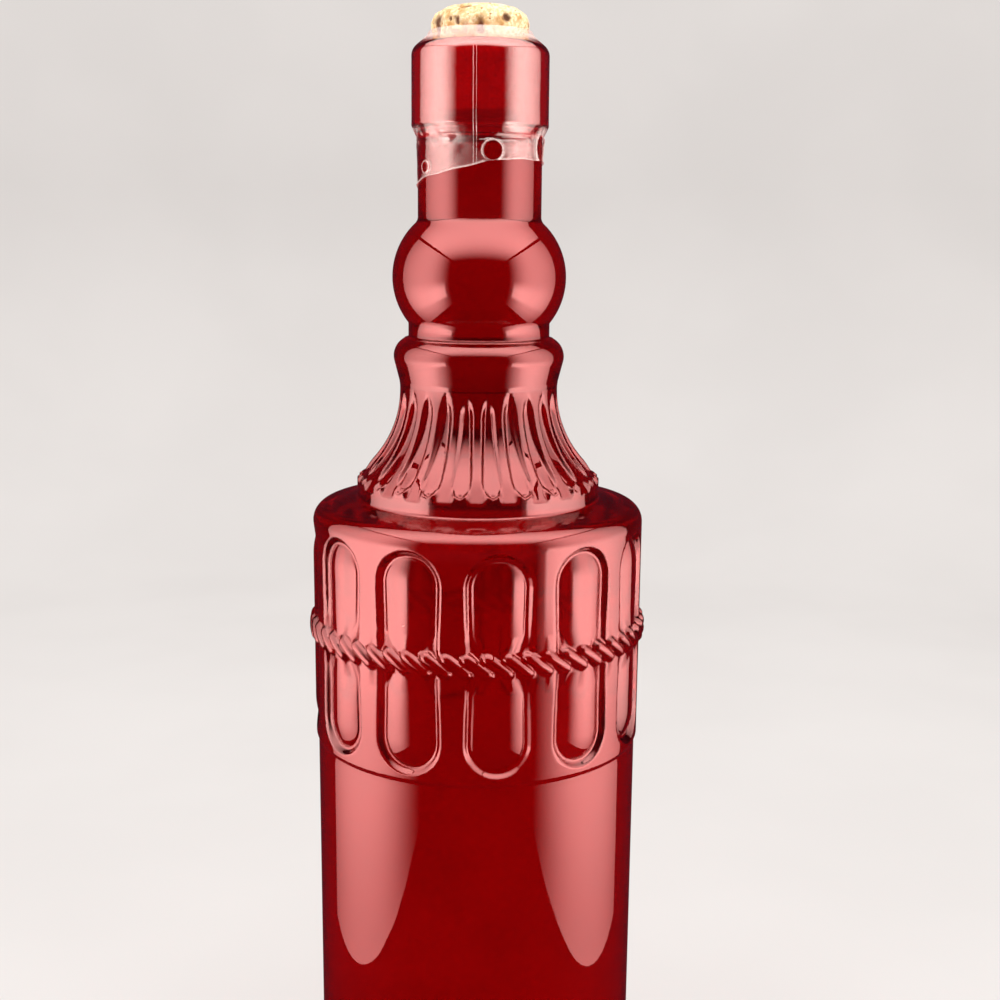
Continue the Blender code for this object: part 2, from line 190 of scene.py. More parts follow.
def smooth_path(points, steps):
    """A smooth curve through the points. Each stretch is the cubic that leaves and reaches its ends
    along the line between their neighbours, at a pace of its own length, so that a short stretch
    never swings out."""
    padded = np.vstack([2 * points[0] - points[1], points, 2 * points[-1] - points[-2]])
    along = padded[2:] - padded[:-2]
    along = along / np.linalg.norm(along, axis=1, keepdims=True)
    t = np.linspace(0.0, 1.0, steps, endpoint=False)[:, None]
    late = smooth_step(t)
    stretches = []
    for start, end, leave, reach in zip(points, points[1:], along, along[1:]):
        pace = np.linalg.norm(end - start)
        bend = (t - 2 * t**2 + t**3) * leave + (t**3 - t**2) * reach
        stretches.append(start + (end - start) * late + bend * pace)
    return np.vstack(stretches + [points[-1:]])


print("where two curves cross, the blend cuts", -soft_minimum(0.0, 0.0, 1.0), "of its width off the corner")

# %% [markdown]
# ## From rings of points to a closed skin
#
# Each piece is a stack of rings. A stretch that is plain all the way round needs few columns, and a
# stretch with flutes or a rope needs many, so rings may differ: a fine ring has a whole number of
# columns for each column of the coarse one, and one face takes in all of them. 108 and 648 columns are
# chosen because 648 is 12 x 54, 24 x 27 and 54 x 12, so that every panel, flute and strand is cut in
# the same way. Where a groove has steep sides, its columns gather there and leave the plain floor
# nearly empty.

# %% Rings of points
COARSE = 108
FINE = 648


def even_angles(count, turn=0.0):
    """Angles of a ring's columns, in radians, starting at turn degrees."""
    return np.radians(turn) + np.arange(count) * (2.0 * np.pi / count)


def gathered_angles(repeats, turn, lean, wall, spread, crowd):
    """Angles (rows, FINE) of columns that gather at a wall on both sides of each repeat's middle
    line. The share of the columns up to an angle a is the running sum of 1 + crowd * exp(-((|a| -
    wall) / spread)^2). wall, lean and crowd have one value for each row."""
    pitch = 2.0 * np.pi / repeats
    grid = np.linspace(-pitch / 2.0, pitch / 2.0, 301)
    density = 1.0 + crowd * np.exp(-(((np.abs(grid) - wall) / spread) ** 2))
    total = np.cumsum((density[:, 1:] + density[:, :-1]) / 2.0, axis=1)
    total = np.hstack([np.zeros((len(total), 1)), total / total[:, -1:]])
    share = np.arange(FINE) * repeats / FINE + lean / pitch
    part = share - np.floor(share)
    place = np.stack([np.interp(row, known, grid) for row, known in zip(part, total)])
    return np.radians(turn) + np.floor(share) * pitch + place


def rings(angle, radius, z):
    """Points (rows, columns, 3) at x = r sin a, y = -r cos a. The three arrays are broadcast
    together."""
    angle, radius, z = np.broadcast_arrays(angle, radius, z)
    return np.stack([radius * np.sin(angle), -radius * np.cos(angle), z], axis=-1)


def turned(outline, count=COARSE, turn=0.0):
    """The outline carried round the axis."""
    return rings(even_angles(count, turn)[None, :], outline[:, :1], outline[:, 1:2])


def pole(z):
    """A ring of one point, on the axis."""
    return np.array([[[0.0, 0.0, z]]])


print("columns of a coarse and of a fine ring:", COARSE, "and", FINE)

# %% From rings to a mesh


def strip(first, first_count, second, second_count):
    """Faces between two rings, each given by its first point's number and its count of columns."""
    if first_count == 1:
        column = np.arange(second_count)
        return np.column_stack([column * 0 + first, second + (column + 1) % second_count, second + column])
    if second_count == 1:
        column = np.arange(first_count)
        return np.column_stack([first + column, first + (column + 1) % first_count, column * 0 + second])
    sides = min(first_count, second_count)
    lower_step = first_count // sides
    upper_step = second_count // sides
    column = np.arange(sides)[:, None]
    lower = first + (column * lower_step + np.arange(lower_step + 1)) % first_count
    upper = second + (column * upper_step + np.arange(upper_step, -1, -1)) % second_count
    return np.hstack([lower, upper])


def skin(name, stretches, crease=70.0, closed=False):
    """A mesh object over stretches of rings (rows, columns, 3) in millimetres, taken in order.
    closed joins the last ring back to the first."""
    rows = [ring for stretch in stretches for ring in stretch]
    counts = [len(ring) for ring in rows]
    starts = np.concatenate([[0], np.cumsum(counts)[:-1]])
    pairs = list(zip(range(len(rows) - 1), range(1, len(rows))))
    if closed:
        pairs.append((len(rows) - 1, 0))
    faces = []
    for below, above in pairs:
        faces += strip(starts[below], counts[below], starts[above], counts[above]).tolist()
    mesh = bpy.data.meshes.new(name)
    mesh.from_pydata((np.vstack(rows) * MM).tolist(), [], faces)
    mesh.validate()
    mesh.shade_smooth()
    mesh.set_sharp_from_angle(angle=np.radians(crease))
    piece = bpy.data.objects.new(name, mesh)
    bpy.context.scene.collection.objects.link(piece)
    print(name, "has", sum(len(face) - 2 for face in faces), "triangles")
    return piece


print("faces between a coarse and a fine ring:", len(strip(0, COARSE, COARSE, FINE)))

# %% [markdown]
# ## The band: panels and rope
#
# Each panel is a moat pressed round a cushion with round ends. The cushion is bent more strongly than
# the band, so it gathers a stripe of light down its side. One number is enough to describe it: the
# distance of a point from the panel's middle line. The rope is a half-round ring cut by slanting
# grooves. The columns of the mesh lean with its strands there, so that each groove runs along an edge
# of the mesh and stays crisp.

# %% Panels
PANELS = 12
PANEL_TURN = 6.9
PANEL_Z = 172.1
PANEL_HALF_HEIGHT = 24.4
MOAT_HALF_WIDTH = 7.7
MOAT_FLOOR_WIDTH = 6.25
MOAT_DEPTH = 1.15
BOSS_HALF_WIDTH = 5.75
BOSS_CROWN = 0.08
BOSS_ARC = 10.8
PANEL_WAIST = 0.6
PANEL_WAIST_LENGTH = 9.0


def from_nearest(angle, count, turn):
    """Angle from the nearest of count evenly spaced lines, the first one at turn degrees."""
    pitch = 2.0 * np.pi / count
    return (angle - np.radians(turn) + pitch / 2.0) % pitch - pitch / 2.0


def panel_relief(angle, z):
    """Height over the plain band: a cushion crown - out^2 (1/arc - 1/band radius) / 2, which drops
    to the moat's floor at its edge and climbs back to 0 at the moat's bank. out is the distance from
    the middle line."""
    across = from_nearest(angle, PANELS, PANEL_TURN) * BAND_RADIUS
    past_straight = np.maximum(np.abs(z - PANEL_Z) - PANEL_HALF_HEIGHT + MOAT_HALF_WIDTH, 0.0)
    pinch = PANEL_WAIST * np.exp(-(((z - ROPE_Z) / PANEL_WAIST_LENGTH) ** 2))
    out = np.hypot(across, past_straight) + pinch
    boss = BOSS_CROWN - out**2 * (1.0 / BOSS_ARC - 1.0 / BAND_RADIUS) / 2.0
    edge = smooth_step((out - BOSS_HALF_WIDTH) / (MOAT_FLOOR_WIDTH - BOSS_HALF_WIDTH) + 0.5)
    bank = smooth_step((out - MOAT_FLOOR_WIDTH) / (MOAT_HALF_WIDTH - MOAT_FLOOR_WIDTH))
    return (boss * (1.0 - edge) - MOAT_DEPTH * edge) * (1.0 - bank)


bank_width = 2.0 * np.pi * BAND_RADIUS / PANELS - 2.0 * MOAT_HALF_WIDTH
print("between two panels the band is", round(bank_width, 2), "mm wide")

# %% Rope
STRANDS = 54
ROPE_HALF_HEIGHT = 3.05
ROPE_CORE_RADIUS = 37.0
ROPE_CREST_RADIUS = 38.53
ROPE_ELLIPSE_HALF_HEIGHT = 3.6
STRAND_GROOVE = 1.3
STRAND_HALF_WIDTH = 1.4
STRAND_HALF_LENGTH = 2.75
STRAND_LEAN = 11.6  # degrees round the axis, over the rope's whole height


def rope_radius(angle, z):
    """Radius of the rope: its half-round core less the strands' grooves. A strand is a leaning bar
    with round ends: out = distance from its middle line, and the groove is depth (1 - sqrt(1 - (out
    / half width)^2)) deep."""
    height = z - ROPE_Z
    swell = (ROPE_CREST_RADIUS - ROPE_CORE_RADIUS) * np.sqrt(1.0 - (height / ROPE_ELLIPSE_HALF_HEIGHT) ** 2)
    slant = np.arctan2(2.0 * ROPE_HALF_HEIGHT, np.radians(STRAND_LEAN) * ROPE_CREST_RADIUS)
    pitch = 2.0 * np.pi / STRANDS
    nearest = np.full(angle.shape, np.inf)
    for neighbour in (-1, 0, 1):
        across = (from_nearest(angle, STRANDS, 0.0) + neighbour * pitch) * ROPE_CREST_RADIUS
        along = across * np.cos(slant) - height * np.sin(slant)
        aside = across * np.sin(slant) + height * np.cos(slant)
        out = np.hypot(aside, np.maximum(np.abs(along) - STRAND_HALF_LENGTH, 0.0))
        nearest = np.minimum(nearest, out)
    roundness = np.sqrt(np.maximum(1.0 - (nearest / STRAND_HALF_WIDTH) ** 2, 0.0))
    return ROPE_CORE_RADIUS + swell - STRAND_GROOVE * (1.0 - roundness)


print("from strand to strand:", round(2.0 * np.pi * ROPE_CREST_RADIUS / STRANDS, 2), "mm")

# %% The band's rings
MOAT_CROWD = 2.6
MOAT_SPREAD = 0.035  # radians
MOAT_MIDDLE = 3.0  # the least distance from a panel's middle line at which columns gather
TIP_BEND = 5.4  # from here to its end a panel's tip has closer rings
CROWD_FADE = 4.0  # over this height the columns go from leaning with the strands to the moats
ROPE_BLEND = 0.25


def band_rows():
    """Heights of the band's rings, close together at the tips of the panels and along the rope."""
    inner_tip = np.linspace(0.0, TIP_BEND - 0.2, 9)
    outer_tip = np.linspace(TIP_BEND, MOAT_HALF_WIDTH + 0.1, 13)
    tip = np.concatenate([inner_tip, outer_tip])
    straight = PANEL_HALF_HEIGHT - MOAT_HALF_WIDTH
    lower_end = PANEL_Z - straight - tip[::-1]
    upper_end = PANEL_Z + straight + tip
    rope = ROPE_Z + ROPE_HALF_HEIGHT * np.linspace(-1.0, 1.0, 21)
    below = np.linspace(lower_end[-1], rope[0], 5)[1:-1]
    above = np.linspace(rope[-1], upper_end[0], 5)[1:-1]
    return np.concatenate([lower_end, below, rope, above, upper_end])


def band_surface():
    """The rings of the band. Its columns gather at the moats, and lean with the strands where the
    rope is."""
    z = band_rows()[:, None]
    lean = -np.radians(STRAND_LEAN) * np.clip((z - ROPE_Z) / (2.0 * ROPE_HALF_HEIGHT), -0.5, 0.5)
    past_straight = np.maximum(np.abs(z - PANEL_Z) - PANEL_HALF_HEIGHT + MOAT_HALF_WIDTH, 0.0)
    wall = np.sqrt(np.maximum(MOAT_FLOOR_WIDTH**2 - past_straight**2, MOAT_MIDDLE**2)) / BAND_RADIUS
    crowd = MOAT_CROWD * smooth_step((np.abs(z - ROPE_Z) - ROPE_HALF_HEIGHT) / CROWD_FADE)
    angle = gathered_angles(PANELS, PANEL_TURN, lean, wall, MOAT_SPREAD, crowd)
    panelled = BAND_RADIUS + panel_relief(angle, z)
    on_rope = np.abs(z - ROPE_Z) < ROPE_HALF_HEIGHT + 0.01
    rope = rope_radius(angle, np.clip(z, ROPE_Z - ROPE_HALF_HEIGHT, ROPE_Z + ROPE_HALF_HEIGHT))
    radius = np.where(on_rope, -soft_minimum(-panelled, -rope, ROPE_BLEND), panelled)
    return rings(angle, radius, z)


band = band_surface()
print("band rings:", band.shape[0], "moat depth:", MOAT_DEPTH, "mm")

# %% [markdown]
# ## The cone: twenty-four flutes
#
# The cone flares out in one arc from the waist. Its flutes are flat-bottomed grooves with slanting
# sides: they fade in under the bead, widen with the cone and end round, just over a plain ring. The
# ribs between them run a little further down, onto the slanting edge of that ring. Cutting them with a
# tool would leave 24 edges to round off, so here the groove's depth is again a formula: how far a point
# lies inside the flute's outline says how deep it is.

# %% The flare and its foot
FLUTES = 24
FLUTE_TURN = 6.8
FOOT_SLOPE = 0.62
FOOT_LENGTH = 4.0
FOOT_BLEND = 0.8
FOOT_EDGE = 0.25
RIB_FOOT_Z = 204.6
GROOVE_FOOT_Z = 206.3
GROOVE_FOOT_WIDTH = (2.2, 4.4)  # degrees from the groove's middle


def cone_radius(z, foot_z=GROOVE_FOOT_Z):
    """The flare is one arc, tangent to the vertical at the waist: waist + arc - sqrt(arc^2 -
    depth^2). It runs out in a slanting edge, ring radius - slope (z - foot), which meets the plain
    ring at foot. z - foot is held to the edge's length, so that the edge never cuts the flare higher
    up."""
    depth = np.minimum(WAIST_Z - z, FLARE_ARC - 0.1)
    flare = WAIST_RADIUS + FLARE_ARC - np.sqrt(FLARE_ARC**2 - depth**2)
    edge = CONE_FOOT_RADIUS - FOOT_SLOPE * np.minimum(z - foot_z, FOOT_LENGTH)
    return soft_minimum(soft_minimum(flare, edge, FOOT_BLEND), CONE_FOOT_RADIUS, FOOT_EDGE)


def foot_height(angle):
    """Where the slanting edge ends: low under a rib, higher under a groove, with a smooth step
    between the two."""
    near, far = np.radians(GROOVE_FOOT_WIDTH)
    away = np.abs(from_nearest(angle, FLUTES, FLUTE_TURN))
    return RIB_FOOT_Z + (GROOVE_FOOT_Z - RIB_FOOT_Z) * smooth_step((far - away) / (far - near))


print("cone radius at the flutes' lower end:", round(float(cone_radius(FLUTE_END_Z)), 2), "mm")

# %% Flutes
FLUTE_HALF_WIDTH = 5.7  # degrees
FLUTE_DEPTH = 0.95
FLUTE_SIDE = (0.9, 1.35)  # at the foot and at the top
FLUTE_SIDE_ROUNDING = 0.25
FLUTE_SIDE_Z = (208.0, 221.0)
FLUTE_FLATNESS = 1.3
FLUTE_ROUND_END = 4.0
FLUTE_TAPER = 5.0
FLUTE_TAPER_POWER = 0.4
FLUTE_FADE = 4.8


def flute_side(z):
    """Width of a groove's side, which is steep at the foot and runs out wide at the top."""
    low, high = FLUTE_SIDE_Z
    return FLUTE_SIDE[0] + (FLUTE_SIDE[1] - FLUTE_SIDE[0]) * smooth_step((z - low) / (high - low))


def flute_half_width(z):
    """Half the flute's width as an angle: sqrt(1 - (1 - s)^2) of the full width over the round end,
    and a taper to a point at the top."""
    round_end = 1.0 - np.clip((z - FLUTE_END_Z) / FLUTE_ROUND_END, 0.0, 1.0)
    taper = np.clip((FLUTE_TOP_Z - z) / FLUTE_TAPER, 0.0, 1.0) ** FLUTE_TAPER_POWER
    return np.radians(FLUTE_HALF_WIDTH) * np.sqrt(1.0 - round_end**2) * taper


def flute_relief(angle, z):
    """Depth of the flutes: depth * rounded_ramp(inside / width of the side), where inside is how far
    a point lies inside the flute's outline. flatness * radius * (half width^2 - a^2) / 2 takes the
    cone's bend off the floor."""
    half_width = flute_half_width(z)
    away = np.abs(from_nearest(angle, FLUTES, FLUTE_TURN))
    inside = (half_width - away) * cone_radius(z)
    fade = smooth_step((FLUTE_TOP_Z - z) / FLUTE_FADE)
    flat = FLUTE_FLATNESS * cone_radius(z) * np.maximum(half_width**2 - away**2, 0.0) / 2.0
    return fade * (FLUTE_DEPTH * rounded_ramp(inside / flute_side(z), FLUTE_SIDE_ROUNDING) + flat)


print("rib between two flutes:", round(360.0 / FLUTES - 2.0 * FLUTE_HALF_WIDTH, 2), "degrees")

# %% The cone's rings
FLUTE_CROWD = 3.0
FLUTE_SPREAD = 0.018  # radians
NARROWEST_WALL = 0.01  # radians from a groove's middle
FOOT_ROWS = 18
FLUTE_ROWS = 21


def cone_surface():
    """The rings of the fluted cone, closer together at its foot, with the columns gathered at the
    flutes' sides."""
    foot = np.linspace(RIB_FOOT_Z - 0.3, FLUTE_END_Z + 2.2, FOOT_ROWS)
    rest = np.linspace(foot[-1], FLUTE_TOP_Z + 0.2, FLUTE_ROWS)[1:]
    z = np.concatenate([foot, rest])[:, None]
    wall = np.maximum(flute_half_width(z) - flute_side(z) / 2.0 / cone_radius(z), NARROWEST_WALL)
    crowd = np.full_like(z, FLUTE_CROWD)
    upright = np.zeros_like(z)
    turn = FLUTE_TURN - 360.0 / FLUTES
    angle = gathered_angles(FLUTES, turn, upright, wall, FLUTE_SPREAD, crowd)
    return rings(angle, cone_radius(z, foot_height(angle)) - flute_relief(angle, z), z)


cone = cone_surface()
print("cone rings:", cone.shape[0])

# %% [markdown]
# ## The plain stretches
#
# The rest of the bottle is turned. Its underside has a shallow push-up, so that it stands on a ring and
# not on its middle. Its heel, the step under the band, the shoulder, the bead, the ledge and the lip
# are corners with fillets. The bulb is an arc whose centre lies a little outside the axis, which makes
# it flatter than a ball.

# %% Base, body and shoulder
UNDERSIDE_RADII = [3.0, 8.0, 13.0, 17.0, 20.0, 22.5, 24.5, 25.8]
HEEL_STEPS = 8
BODY_RINGS = 13
# The step under the band: radius, height over the band's foot and fillet
BAND_STEP = [(BODY_RADIUS, -1.9, 0.0), (BODY_RADIUS, -0.6, 0.7)]
BAND_STEP += [(BAND_RADIUS, 0.4, 0.5), (BAND_RADIUS, 0.9, 0.0)]
SHOULDER_ANGLES = (4.0, 76.0)
SHOULDER_STEPS = 12
CONE_FILLET = 0.7
LOWER_TURN = PANEL_TURN - 180.0 / PANELS + STRAND_LEAN / 2.0  # where the band's first columns are
UPPER_TURN = PANEL_TURN - 180.0 / PANELS - STRAND_LEAN / 2.0


def base_outline():
    """Underside, heel and body. The push-up rises as height (1 - (r / edge)^2)^2."""
    radius = np.array(UNDERSIDE_RADII)
    under = np.column_stack([radius, PUSH_UP * (1.0 - (radius / CONTACT_RADIUS) ** 2) ** 2])
    ring = np.array([[CONTACT_RADIUS, 0.0]])
    heel = arc(BODY_RADIUS - HEEL_Z, HEEL_Z, HEEL_Z, -90.0, 0.0, HEEL_STEPS)
    body_z = np.linspace(HEEL_Z, BAND_BOTTOM_Z - 2.0, BODY_RINGS)[1:]
    body = np.column_stack([np.full_like(body_z, BODY_RADIUS), body_z])
    step = [(radius, BAND_BOTTOM_Z + rise, fillet) for radius, rise, fillet in BAND_STEP]
    return np.vstack([under, ring, heel, body, rounded(step)])


def shoulder_outline():
    """The shoulder's round edge and gentle slope, the fillet under the cone and the cone's plain ring."""
    edge = arc(BAND_RADIUS - SHOULDER_ARC, BAND_TOP_Z + 0.1, SHOULDER_ARC, *SHOULDER_ANGLES, SHOULDER_STEPS)
    slope = [(*edge[-1], 0.0), (CONE_FOOT_RADIUS, CONE_FOOT_Z - 0.05, CONE_FILLET)]
    slope += [(CONE_FOOT_RADIUS, RIB_FOOT_Z - 0.7, 0.0)]
    return np.vstack([edge[:-1], rounded(slope, 6)])


print("rings of the base and body:", len(base_outline()), "and of the shoulder:", len(shoulder_outline()))

# %% Bead, bulb, neck and lip
BEAD_UNDER = (17.75, 227.9, 3.0)
BEAD_ANGLES = (-18.0, 62.0)
BEAD_STEPS = 14
LEDGE_CORNERS = [(16.6, -0.25, 0.3), (16.3, -0.2, 0.15), (STEM_RADIUS, 0.0, 0.25), (STEM_RADIUS, 0.8, 0.0)]
BULB_STEPS = 22
NECK_FOOT_RISE = 1.1
NECK_FOOT_FLARE = (0.45, 0.12)  # over the neck's radius, where the bulb ends and halfway up
LIP_STEPS = 10
LIP_WIDTH = 1.3


def bead_outline():
    """The bead over the waist, which is one arc on top, and the narrow ledge between it and the stem."""
    under = [(WAIST_RADIUS, WAIST_Z + 0.6, 0.0), BEAD_UNDER, (BEAD_RADIUS - 0.3, BEAD_Z - 1.9, 0.0)]
    top = arc(BEAD_RADIUS - BEAD_ARC, BEAD_Z, BEAD_ARC, *BEAD_ANGLES, BEAD_STEPS)
    ledge = [(*top[-1], 0.0)]
    ledge += [(radius, LEDGE_Z + rise, fillet) for radius, rise, fillet in LEDGE_CORNERS]
    return np.vstack([rounded(under)[:-1], top[:-1], rounded(ledge)])


def bulb_outline():
    """The bulb, from the stem up to the fillet under the neck."""
    foot_angle = np.degrees(np.arccos((STEM_RADIUS - BULB_CENTRE_RADIUS) / BULB_ARC))
    end_flare, half_flare = NECK_FOOT_FLARE
    top_angle = np.degrees(np.arccos((NECK_RADIUS + end_flare - BULB_CENTRE_RADIUS) / BULB_ARC))
    bulb = arc(BULB_CENTRE_RADIUS, BULB_Z, BULB_ARC, -foot_angle, top_angle, BULB_STEPS)
    neck_foot = bulb[-1][1] + NECK_FOOT_RISE
    halfway = [NECK_RADIUS + half_flare, neck_foot - NECK_FOOT_RISE / 2.0]
    return np.vstack([bulb, [halfway, [NECK_RADIUS, neck_foot]]])


def neck_outline():
    """The straight neck, the collar's lower corner, the collar and its rounded lip."""
    corners = [(NECK_RADIUS, COLLAR_BOTTOM_Z - 2.0, 0.0), (NECK_RADIUS, COLLAR_BOTTOM_Z - 0.3, 0.5)]
    corners += [(COLLAR_RADIUS, COLLAR_BOTTOM_Z + 0.1, 0.6), (COLLAR_RADIUS, COLLAR_BOTTOM_Z + 2.0, 0.0)]
    lip = arc(COLLAR_RADIUS - LIP_ARC, LIP_Z - LIP_ARC, LIP_ARC, 0.0, 90.0, LIP_STEPS)
    return np.vstack([rounded(corners), lip, [[BORE_RADIUS + LIP_WIDTH, LIP_Z]]])


for outline in (bead_outline, bulb_outline, neck_outline):
    print(outline.__name__, "has", len(outline()), "rings")

# %% [markdown]
# ## The inside of the glass
#
# The drink's solid in the frame fills the bottle, so its outline is also the bottle's inside. We read
# it from that node and pass a smooth curve through it, because a blown inside has no corners. Above the
# drink the bore goes on straight up to the mouth.

# %% Read the inside from the frame


def node_outline(name):
    """The (radius, z) of a turned node's rings, in millimetres, from its top down: for each height,
    the largest distance of its points from the axis."""
    mesh = frame["nodes"][name].data
    points = np.empty(len(mesh.vertices) * 3, np.float32)
    mesh.vertices.foreach_get("co", points)
    points = points.reshape(-1, 3) / MM
    radius = np.hypot(points[:, 0], points[:, 1])
    heights, ring = np.unique(np.round(points[:, 2], 1), return_inverse=True)
    largest = np.zeros(len(heights))
    np.maximum.at(largest, ring.ravel(), radius)
    return np.column_stack([largest, heights])[::-1]


DRINK_GAP = 0.3  # between the drink's node and the glass
MOUTH_CORNERS = [(1.0, -0.1, 0.0), (0.5, -1.2, 1.0), (0.0, -6.0, 2.0), (0.0, -12.0, 0.0)]
drink_outline = node_outline("drink")
drink_level = drink_outline[:, 1].max()
inside = drink_outline[(drink_outline[:, 0] > 1.0) & (drink_outline[:, 1] < drink_level - 1.0)]
inside = inside + np.array([DRINK_GAP, 0.0])


def cavity_outline():
    """From the mouth to the floor: a flared mouth, the straight bore and the smooth inside."""
    mouth = rounded([(BORE_RADIUS + out, LIP_Z + rise, fillet) for out, rise, fillet in MOUTH_CORNERS])
    curve = smooth_path(inside, 3)[:-1]
    return np.vstack([mouth, [[BORE_RADIUS, drink_level]], curve])


cavity = cavity_outline()
print("drink level:", drink_level, "mm; inside points:", len(cavity))

# %% Build the glass
glass = skin(
    "glass_bottle_skin",
    [
        pole(PUSH_UP),
        turned(base_outline(), turn=LOWER_TURN),
        band,
        turned(shoulder_outline(), turn=UPPER_TURN),
        cone,
        turned(np.vstack([bead_outline(), bulb_outline(), neck_outline(), cavity]), turn=UPPER_TURN),
        pole(FLOOR_Z),
    ],
)

# %% [markdown]
# ## The drink
#
# A liquid wets glass, so no air shows between them. The drink's skin therefore reaches a little way
# into the wall. Its surface climbs the wall by a millimetre or so, which is the meniscus.

# %% Build the drink
DRINK_REACH = 0.15
DRINK_SURFACE_RADII = [2.5, 5.0, 6.5, 7.5, 8.2, 8.8, 9.2, 9.5]
MENISCUS_RISE = 1.3
MENISCUS_WIDTH = 2.2 / 3.0


def meniscus(radius):
    """Height of the surface over the level: rise exp(-(wall - r) / width)."""
    return MENISCUS_RISE * np.exp(-(BORE_RADIUS - radius) / MENISCUS_WIDTH)


def drink_skin():
    """From the floor up the side and in over the surface, so that the faces look outwards."""
    surface_radius = np.array(DRINK_SURFACE_RADII + [BORE_RADIUS + DRINK_REACH])
    surface = np.column_stack([surface_radius, drink_level + meniscus(surface_radius)])
    side = cavity[cavity[:, 1] <= drink_level] + np.array([DRINK_REACH, 0.0])
    floor = side[-1] - np.array([0.0, DRINK_REACH])
    outline = np.vstack([floor, side[-2::-1], surface[::-1]])
    return [pole(FLOOR_Z - DRINK_REACH), turned(outline, turn=UPPER_TURN), pole(drink_level)]


drink = skin("drink_skin", drink_skin())

# %% [markdown]
# ## The cork
#
# Natural cork is bark, so its cut sides are never smooth: there are pits where the bark had pores,
# chips along its top edge and a fine grain. The plug is turned, and its surface is then pushed in by
# random fields at several scales and by ragged pits. A random field is a block of random numbers with
# soft steps between them, so it is the same each time. How deep a point lies is kept as an attribute,
# so that the material can paint shade into the deepest pits and dents.

# %% A random field
LATTICE = 32


def lumps(points, size, seed):
    """A smooth random field from -1 to 1: random values on a cubic lattice of this size in
    millimetres, blended between the eight corners round each point with smooth_step."""
    lattice = np.random.default_rng(seed).uniform(-1.0, 1.0, (LATTICE, LATTICE, LATTICE))
    place = points / size
    corner = np.floor(place).astype(int)
    share = smooth_step(place - corner)
    total = 0.0
    for step in np.ndindex(2, 2, 2):
        weight = np.prod(np.where(np.array(step) == 1, share, 1.0 - share), axis=-1)
        index = (corner + np.array(step)) % LATTICE
        total = total + weight * lattice[index[..., 0], index[..., 1], index[..., 2]]
    return total


print("the random field repeats after", LATTICE, "steps of its lattice")

# %% The cork's outline
CORK_RADIUS = 10.8
CORK_TOP_Z = 307.55
CORK_ROWS = 130
cork_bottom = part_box("cork")[0].z / MM


def cork_outline():
    """From the lower end up the bore, out where the cork swells, up its side and over the worn edge."""
    corners = [(0.5, CORK_TOP_Z - 0.4, 0.0), (CORK_RADIUS - 3.4, CORK_TOP_Z, 2.4)]
    corners += [(CORK_RADIUS - 0.9, CORK_TOP_Z - 1.5, 1.2), (CORK_RADIUS, CORK_TOP_Z - 3.2, 1.2)]
    corners += [(CORK_RADIUS - 0.2, LIP_Z + 1.6, 1.0), (BORE_RADIUS + 0.75, LIP_Z, 0.9)]
    corners += [(BORE_RADIUS - 0.02, LIP_Z - 4.0, 2.0), (BORE_RADIUS - 0.06, cork_bottom + 2.0, 3.0)]
    corners += [(BORE_RADIUS - 0.5, cork_bottom, 0.8), (0.5, cork_bottom, 0.0)]
    sparse = rounded(corners, 5)
    length = np.concatenate([[0.0], np.cumsum(np.hypot(*np.diff(sparse, axis=0).T))])
    even = np.linspace(length[-1], 0.0, CORK_ROWS)
    return np.column_stack([np.interp(even, length, sparse[:, 0]), np.interp(even, length, sparse[:, 1])])


print("the cork is", round(CORK_TOP_Z - cork_bottom, 1), "mm long")

# %% Pits
CORK_PITS = 170
PIT_RADII = (0.25, 0.8)
PIT_DEPTHS = (0.15, 0.55)
PITS_ON_TOP = 0.2  # their share
PIT_RAGGEDNESS = 0.7
PIT_FIELD_SIZE = 0.7


def pit_depth(points, count, seed):
    """Depth of pits scattered over the cork's side and top: the deepest of depth exp(-(d / size)^2). A
    random field stretches the distance d, so that no pit is quite round."""
    random = np.random.default_rng(seed)
    turn = random.uniform(0.0, 2.0 * np.pi, count)
    height = random.uniform(cork_bottom, CORK_TOP_Z, count)
    size = random.uniform(*PIT_RADII, count)
    depth = random.uniform(*PIT_DEPTHS, count)
    on_top = random.uniform(size=count) < PITS_ON_TOP
    radius = np.where(on_top, CORK_RADIUS * np.sqrt(random.uniform(size=count)), CORK_RADIUS)
    height = np.where(on_top, CORK_TOP_Z, height)
    deepest = np.zeros(points.shape[:-1])
    ragged = 1.0 + PIT_RAGGEDNESS * lumps(points, PIT_FIELD_SIZE, seed + 1)
    for k in range(count):
        middle = np.array([radius[k] * np.sin(turn[k]), -radius[k] * np.cos(turn[k]), height[k]])
        away = np.linalg.norm((points - middle) * np.array([1.0, 1.0, 0.7]), axis=-1) * ragged
        deepest = np.maximum(deepest, depth[k] * np.exp(-((away / size[k]) ** 2)))
    return deepest


print("pits:", CORK_PITS, "up to", PIT_DEPTHS[1], "mm deep")

# %% Build the cork
CORK_COLUMNS = 288
PITS_IN_BORE = 0.25  # their depth there
DEEPEST_HOLLOW = 0.7
CHIP_SIZE = 2.6
CHIP_THRESHOLD = 0.35
CHIP_DEPTH = 1.1
GRAINS = [(0.10, 0.9, 4), (0.05, 0.45, 5)]  # depth, size and seed
WAVE_SIZE = 5.0
WAVE_DEPTH = 0.176
CORK_PLAY = 0.25  # how far the cork stays inside its outline
TOP_FLATNESS = 0.55  # 1 pushes the surface in towards the cork's middle, and 0 level towards its axis


